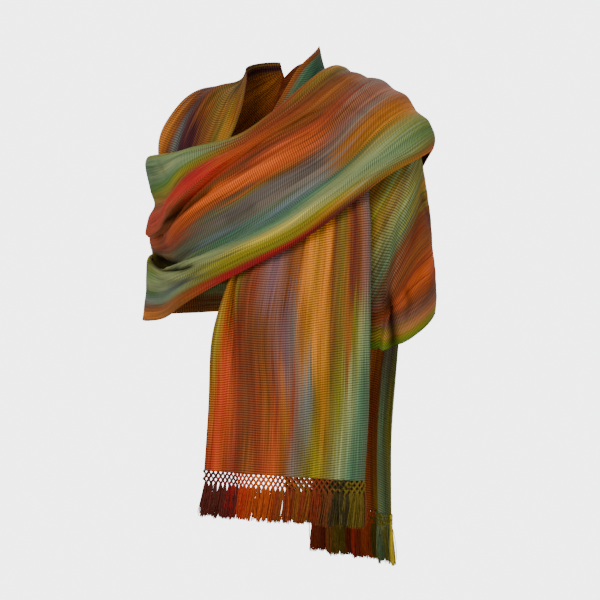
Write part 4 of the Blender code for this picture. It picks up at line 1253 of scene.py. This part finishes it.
# %% The left shoulder's and the sleeve's dyes and creases
SHOULDER_DYES = read_dyes("""
    under the band: 0 gold brown, .05 brown, .1 olive, .2 deep teal, .6 teal, 1 pink tan;
    neck side: 0 gold brown, .03 brown, .05 teal, .12 deep teal, .22 teal, .3 deep teal, .55 teal,
        .7 olive, 1 orange;
    left back: 0 gold brown, .06 dark olive, .2 teal, .4 olive, .7 rust, 1 orange
""")
SLEEVE_TURNS = (
    ("tuck", 40.0), ("pleat", 42.0), ("ridge foot", 42.0), ("ridge", 40.0),
    ("outer face", 34.0), ("outer side", 30.0), ("arm behind", 16.0), ("left back", 0.0),
)
SLEEVE_DYES = read_dyes("""
    tuck: 0 olive, .06 olive, .12 gold brown, .2 olive, .28 yellow olive, .35 olive, .42 brown,
        .6 rust, 1 green;
    ridge foot: 0 olive, .14 olive, .2 yellow olive, .27 gold brown, .34 sage, .42 sea green,
        .5 slate, .58 mauve, .66 brown, .8 rust, .95 yellow olive, 1 green;
    ridge: 0 green, .2 sea green, .28 sage, .36 olive green, .44 teal, .5 brown, .6 brown, .75 rust,
        .88 mauve, .95 yellow olive, 1 green;
    outer face: 0 green, .22 sea green, .3 olive green, .4 olive, .46 yellow olive, .49 brown,
        .58 rust, .64 gold brown, .7 rust, .76 bright orange, .83 brown, .89 mauve, .93 pink tan,
        .96 yellow olive, 1 green;
    outer side: 0 green, .24 teal, .34 olive green, .44 gold, .5 yellow olive, .54 brown,
        .64 gold brown, .72 bright orange, .8 rust, .88 brown, .94 pink tan, .97 yellow olive,
        1 green;
    arm behind: 0 green, .24 sea green, .34 olive green, .44 gold brown, .5 ochre, .56 brown,
        .64 rust, .72 orange, .8 rust, .88 brown, .94 brown, .97 yellow olive, 1 green;
    left back: 0 orange, .3 rust, .45 gold brown, .6 rust, .8 brown, .93 brown, 1 olive
""")
SLEEVE_CREASES = read_creases("""
    front | -1.8 |   5 | 150 -170, 146 -230, 138 -300
    front |  1.5 |   4 | 186 -108, 172 -190, 160 -260
    front | -1.5 |   6 | 206 -140, 196 -200, 182 -250
    front | -1.6 |   6 | 212 -250, 190 -290, 170 -320
    front |  1.6 |   6 | 222 -270, 200 -312, 176 -344
    front |   -6 |   8 | 146 -296, 155 -328, 160 -366, 158 -398
    front |   -2 |   5 | 176 -290, 184 -320, 176 -350
    front |    3 |   6 | 205 -262, 212 -292, 196 -324
    left  |   -2 |   8 | 20 -140, 40 -200, 60 -260
    left  |  1.8 |   8 | 60 -150, 78 -220, 92 -290
    back  |   -2 |   8 | -205 -180, -170 -220, -140 -240
""")
weave_sheet("left_shoulder_cloth", shoulder, "shoulder weave", SHOULDER_DYES, (), 3, 0.6)
# The sleeve's ribs get a deeper painted shade between them.
weave_sheet("left_sleeve_cloth", sleeve, "sleeve weave", SLEEVE_DYES, SLEEVE_CREASES, 4, 0.6,
            SLEEVE_TURNS, rib_dark=0.25, rib_pitch=3.2 * MM)

# %% [markdown]
# ## The right shoulder and the back
# Yellow-brown streaks fan out from the nape, darker past the fold line and orange at the arm.

# %% The right shoulder's and the back's dyes and creases
RIGHT_DYES = read_dyes("""
    nape: 0 maroon, .02 olive, .08 dark olive, .14 gold brown, .2 olive, .26 dark olive, .3 brown,
        .34 dark brown, .5 dark brown, .6 brown, .72 gold brown, 1 rust;
    high: 0 maroon, .02 olive, .06 gold brown, .1 dark olive, .15 olive, .2 gold brown, .25 olive,
        .29 brown, .33 dark brown, .39 gold brown, .43 dark brown, .5 dark brown, .56 gold brown,
        .75 golden orange, 1 rust;
    slope: 0 brown, .03 gold brown, .07 olive, .12 ochre, .16 olive, .2 olive, .25 gold brown,
        .29 brown, .33 plum, .38 dark brown, .44 gold brown, .5 ochre, .6 golden orange,
        .75 golden orange, 1 rust;
    fold edge: 0 olive, .05 gold, .1 olive, .16 gold brown, .22 brown, .27 plum, .32 plum,
        .36 blue grey, .4 brown, .46 golden orange, .56 golden orange, .75 orange, 1 rust
""")
RIGHT_CREASES = read_creases("""
    front | -1.4 |   3 | -58 20, -66 -10, -80 -56
    front |  1.3 |   3 | -60 6, -74 -28, -86 -70
    front | -1.5 |   4 | -92 0, -112 -30, -124 -62
    front |  1.5 |   4 | -104 -4, -130 -32, -146 -60
    front | -1.3 |   4 | -120 -14, -148 -40, -164 -66
""")
weave_sheet("right_shoulder_cloth", right, "right weave", RIGHT_DYES, RIGHT_CREASES, 5, 0.6,
            rib_pitch=3.6 * MM)

BACK_DYES = read_dyes("""
    left: 0 gold brown, .05 dark olive, .15 teal, .3 olive, .4 rust, .5 orange, .6 rust,
        .7 gold brown, .8 teal, .9 olive, .96 maroon, 1 crimson;
    spine: 0 maroon, .05 olive, .14 yellow olive, .24 gold brown, .35 orange, .46 rust, .56 mauve,
        .66 gold brown, .76 sea green, .86 olive green, .95 gold brown, 1 crimson;
    right: 0 rust, .2 rust, .45 rust, .5 olive, .6 sea green, .68 gold brown, .75 rust, .82 orange,
        .9 olive green, .95 sage, 1 gold brown
""")
BACK_CREASES = read_creases("""
    back  |   -2 |   8 | -40 -90, 10 -118, 70 -120
    back  |    2 |   9 | -50 -150, 20 -176, 90 -170
    back  |   -2 |   9 | -30 -230, 40 -250, 104 -236
    back  |  1.8 |   8 | 0 -300, 50 -312, 100 -298
    back  | -1.5 |   5 | -20 0, 20 -24, 60 -30
""")
weave_sheet("back_stretch_cloth", back, "back weave", BACK_DYES, BACK_CREASES, 6)

# %% [markdown]
# ## The second end
# The pleats of the second end take their colours from the band: dark plum and olive, with an orange
# edge.

# %% The second end's dyes and creases
# Toward the hem the outer greens are dyed a step lighter, as painted light for the shade the back fall hangs
# in.
FALL_DYES = read_dyes("""
    left back: 0 gold brown, .12 gold brown, .22 olive, .32 mauve grey, .42 rust, .5 rust,
        .58 brown, .67 red brown, .78 teal, .88 olive green, 1 gold brown;
    waist: 0 crimson, .06 gold brown, .14 olive, .22 sea green, .3 teal, .38 mauve, .46 brown,
        .54 orange, .62 golden orange, .7 brown, .78 mauve, .86 mauve grey, .94 sage, 1 green;
    hip: 0 crimson, .05 rust, .12 gold brown, .2 olive, .28 sage, .36 mauve grey, .44 rust,
        .52 orange, .6 tan, .67 rust, .72 tan, .78 sage, .84 sea green, .9 yellow olive, .95 sage,
        1 sage;
    second hem: 0 crimson, .06 rust, .14 orange, .22 tan, .3 gold brown, .38 olive, .46 brown,
        .54 rust, .62 orange, .68 gold brown, .74 yellow olive, .8 sage, .87 sea green, .94 sage,
        1 yellow olive
""")
FALL_CREASES = read_creases("""
    back  |   -2 |   8 | -120 -260, -90 -380, -84 -470
    back  |  1.8 |   7 | -80 -240, -50 -360, -44 -460
    back  | -1.8 |   7 | -44 -300, -16 -420, -10 -540
    back  |  1.6 |   7 | -30 -260, 14 -400, 20 -520
""")
weave_sheet("back_fall_cloth", fall, "fall weave", FALL_DYES, FALL_CREASES, 7, bright=1.08)

# %% [markdown]
# ## The knotted fringe
# Below each hem the warp is knotted in four rows, each row set half a step from the one above, and
# then hangs in tied locks. Knots are small balls, strands and yarns are thin curves made into a
# mesh, and each yarn takes the dye of the warp above it, or now and then of its neighbour.

# %% Knots, strands and yarns
LOCKS = 48
NET_ROWS_MM = (-0.8, -6.0, -11.5, -17.0)
STRAND_RADIUS = 1.8 * MM
KNOT_RADIUS = 2.6 * MM
YARN_RADIUS = 0.7 * MM
YARNS = 38
NEIGHBOUR_DYE = 0.022
OWN_DYE = 0.7
KNOT_DROP = 0.35 * MM
KNOT_STRAY = 0.25 * MM
SPREAD_WIDE = 3.0 * MM
SPREAD_OUT = 1.6 * MM
YARN_BEND = 1.2 * MM
# Along a yarn: where, how far it has left the knot, and how thick it is.
YARN_SHAPE = ((0.0, 0.3, 1.0), (0.1, 0.56, 1.0), (0.35, 0.835, 0.95), (0.65, 1.0, 0.9), (1.0, 1.0, 0.75))


def yarn_material(dye):
    """Soft yarn in one dye, a little uneven along its length."""
    name = "yarn " + dye
    if name in bpy.data.materials:
        return bpy.data.materials[name]
    n = Nodes(name)
    place_now = n.add("ShaderNodeTexCoord").outputs["Object"]
    noise = n.add("ShaderNodeTexNoise", {"Vector": place_now, "Scale": 260.0, "Detail": 2.0})
    n.colour(linear(dye), n.math("MULTIPLY_ADD", noise.outputs[0], 0.9, 0.5))
    n.shader.inputs["Roughness"].default_value = 0.75
    n.shader.inputs["Specular IOR Level"].default_value = 0.2
    return n.material


def line_at(line, places):
    """Points at shares of the length of a line."""
    run = running(np.linalg.norm(np.diff(line, axis=0), axis=1), 0)
    wanted = np.clip(np.asarray(places), 0.0, 1.0) * run[-1]
    return np.stack([np.interp(wanted, run, line[:, k]) for k in range(3)], 1)


def add_spline(curve, points, kind, thick=1.0):
    """One thin curve through some points."""
    spline = curve.splines.new("POLY")
    spline.points.add(len(points) - 1)
    for mark, (point, radius) in zip(spline.points, zip(points, np.broadcast_to(thick, len(points)))):
        mark.co = (*point, 1.0)
        mark.radius = float(radius)
    spline.material_index = kind


print(LOCKS, "locks of", YARNS, "yarns")

# %% [markdown]
# ## Tying the fringes
# The rows of knots are placed first, then the strands between them, and then each lock with its
# yarns. The front fringe leans a little toward its selvedge.

# %% The two fringes
def knotted_fringe(name, hem, dyes, length, swing, fan, seed):
    """The knotted net and the locks below a hem. `fan` leans the locks sideways, from edge to edge, in mm."""
    random = np.random.default_rng(seed)
    names = sorted({dye for _, dye in dyes})
    marks = np.array([where for where, _ in dyes])
    curve = bpy.data.curves.new(name, "CURVE")
    curve.dimensions = "3D"
    curve.bevel_depth = YARN_RADIUS
    curve.bevel_resolution = 0
    for dye in names:
        curve.materials.append(yarn_material(dye))
    _, away = form_distance(hem)
    away[:, 2] = 0.0
    out = away.mean(0) / np.linalg.norm(away.mean(0))

    def kind_at(where):
        """The dye of the warp at a share of the hem."""
        pick = int(np.argmin(np.abs(marks - where - random.normal(0.0, NEIGHBOUR_DYE))))
        return names.index(dyes[pick][1])

    knots = []
    for row, depth in enumerate(NET_ROWS_MM):
        shift = 0.5 if row % 2 else 0.0
        where = (np.arange(LOCKS + 1 - row % 2) + shift) / LOCKS
        points = line_at(hem, where)
        points[:, 2] += depth * MM + random.normal(0.0, KNOT_DROP, len(points))
        points += random.normal(0.0, KNOT_STRAY, (len(points), 1)) * out
        knots.append((where, points))
    strand = STRAND_RADIUS / YARN_RADIUS
    for (upper_where, upper), (lower_where, lower) in zip(knots[:-1], knots[1:]):
        for where, point in zip(lower_where, lower):
            for other_where, other in zip(upper_where, upper):
                if abs(other_where - where) < 0.6 / LOCKS:
                    middle = 0.5 * (point + other) + out * 0.3 * MM
                    add_spline(curve, [other, middle, point], kind_at(where), strand)
    last_where, last = knots[-1]
    for k, (where, root) in enumerate(zip(last_where, last)):
        wide = last[min(k + 1, len(last) - 1)] - last[max(k - 1, 0)]
        wide /= max(np.linalg.norm(wide), 1e-9)
        lean = wide * MM * (fan[0] + (fan[1] - fan[0]) * where + random.normal(0.0, 2.0))
        lean = lean + out * swing * random.uniform(0.3, 1.0)
        drop = (length + NET_ROWS_MM[-1] * MM) * random.uniform(0.92, 1.0)
        kind = kind_at(where)
        for _ in range(YARNS):
            spread_wide = random.normal(0.0, SPREAD_WIDE)
            spread_out = random.normal(0.0, SPREAD_OUT)
            long = drop * random.uniform(0.9, 1.05)
            bend = random.normal(0.0, YARN_BEND)
            points = []
            for part, open_now, _ in YARN_SHAPE:
                point = root + wide * (spread_wide * open_now + bend * math.sin(3.0 * part))
                point = point + out * spread_out * open_now + lean * part**1.4
                point[2] -= long * part
                points.append(point)
            mine = kind if random.random() < OWN_DYE else kind_at(where)
            add_spline(curve, points, mine, [thick for _, _, thick in YARN_SHAPE])
    holder = bpy.data.objects.new(name + "_curve", curve)
    bpy.context.scene.collection.objects.link(holder)
    bpy.context.view_layer.update()
    graph = bpy.context.evaluated_depsgraph_get()
    mesh = bpy.data.meshes.new_from_object(holder.evaluated_get(graph))
    bpy.data.objects.remove(holder)
    bm = bmesh.new()
    bm.from_mesh(mesh)
    for where_row, points in knots:
        for where, point in zip(where_row, points):
            radius = KNOT_RADIUS * random.uniform(0.85, 1.1)
            here = Matrix.Translation(Vector(point))
            made = bmesh.ops.create_icosphere(bm, subdivisions=1, radius=radius, matrix=here)
            kind = kind_at(where)
            for face in {face for vert in made["verts"] for face in vert.link_faces}:
                face.material_index = kind
    bm.to_mesh(mesh)
    bm.free()
    mesh.name = name
    mesh.shade_smooth()
    piece = bpy.data.objects.new(name, mesh)
    bpy.context.scene.collection.objects.link(piece)
    SHEETS[name] = piece
    print(name, len(names), "dyes,", len(mesh.polygons), "faces")


FRONT_FRINGE_DYES = read_stripes("""
    0 dark olive, .02 maroon, .07 maroon, .11 crimson, .14 maroon, .18 red orange, .23 orange,
    .29 bright orange, .34 orange, .39 rust, .44 gold brown, .49 rust, .54 brown, .58 dark olive,
    .63 olive, .68 olive, .73 brown, .78 olive green, .84 olive, .9 yellow olive, .95 gold,
    1 olive green
""")
# The greens toward the end of the back fringe are dyed a step lighter, as painted light for the shade it
# hangs in.
BACK_FRINGE_DYES = read_stripes("""
    0 rust, .08 red brown, .16 orange, .24 gold brown, .32 olive, .4 rust, .48 red orange, .56 rust,
    .64 orange, .7 olive, .76 sea green, .82 olive green, .88 sage, .94 yellow olive, 1 yellow
""")
knotted_fringe("front_fringe_yarn", front["points"][-1], FRONT_FRINGE_DYES, 67.0 * MM, 6.0 * MM,
               (-9.0, 1.0), 21)
knotted_fringe("back_fringe_yarn", fall["points"][-1], BACK_FRINGE_DYES, 72.0 * MM, 5.0 * MM,
               (-3.0, 5.0), 22)

# %% [markdown]
# ## What stands for what
# Each sheet stands for one solid of the packed model and moves with it. The cut of each sheet is
# its share of the one woven rectangle.

# %% Pieces and cuts
CUTS_METRES = {
    "front_fall": ((0.32, 0.43), ["front_fringe_yarn"]),
    "left_shoulder": ((0.21, 0.28), []),
    "left_sleeve": ((0.24, 0.32), []),
    "back_stretch": ((0.40, 0.19), []),
    "right_shoulder": ((0.25, 0.25), []),
    "chest_band": ((0.26, 0.93), []),
    "back_fall": ((0.18, 0.54), ["back_fringe_yarn"]),
}
for node, (flat, pieces_on_it) in CUTS_METRES.items():
    piece = SHEETS[node + "_cloth"]
    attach(piece, "root")
    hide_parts(node)
for node in ("front_fringe", "back_fringe"):
    piece = SHEETS[node + "_yarn"]
    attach(piece, "root")
    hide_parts(node)
print(len(SHEETS), "pieces")

# %% [markdown]
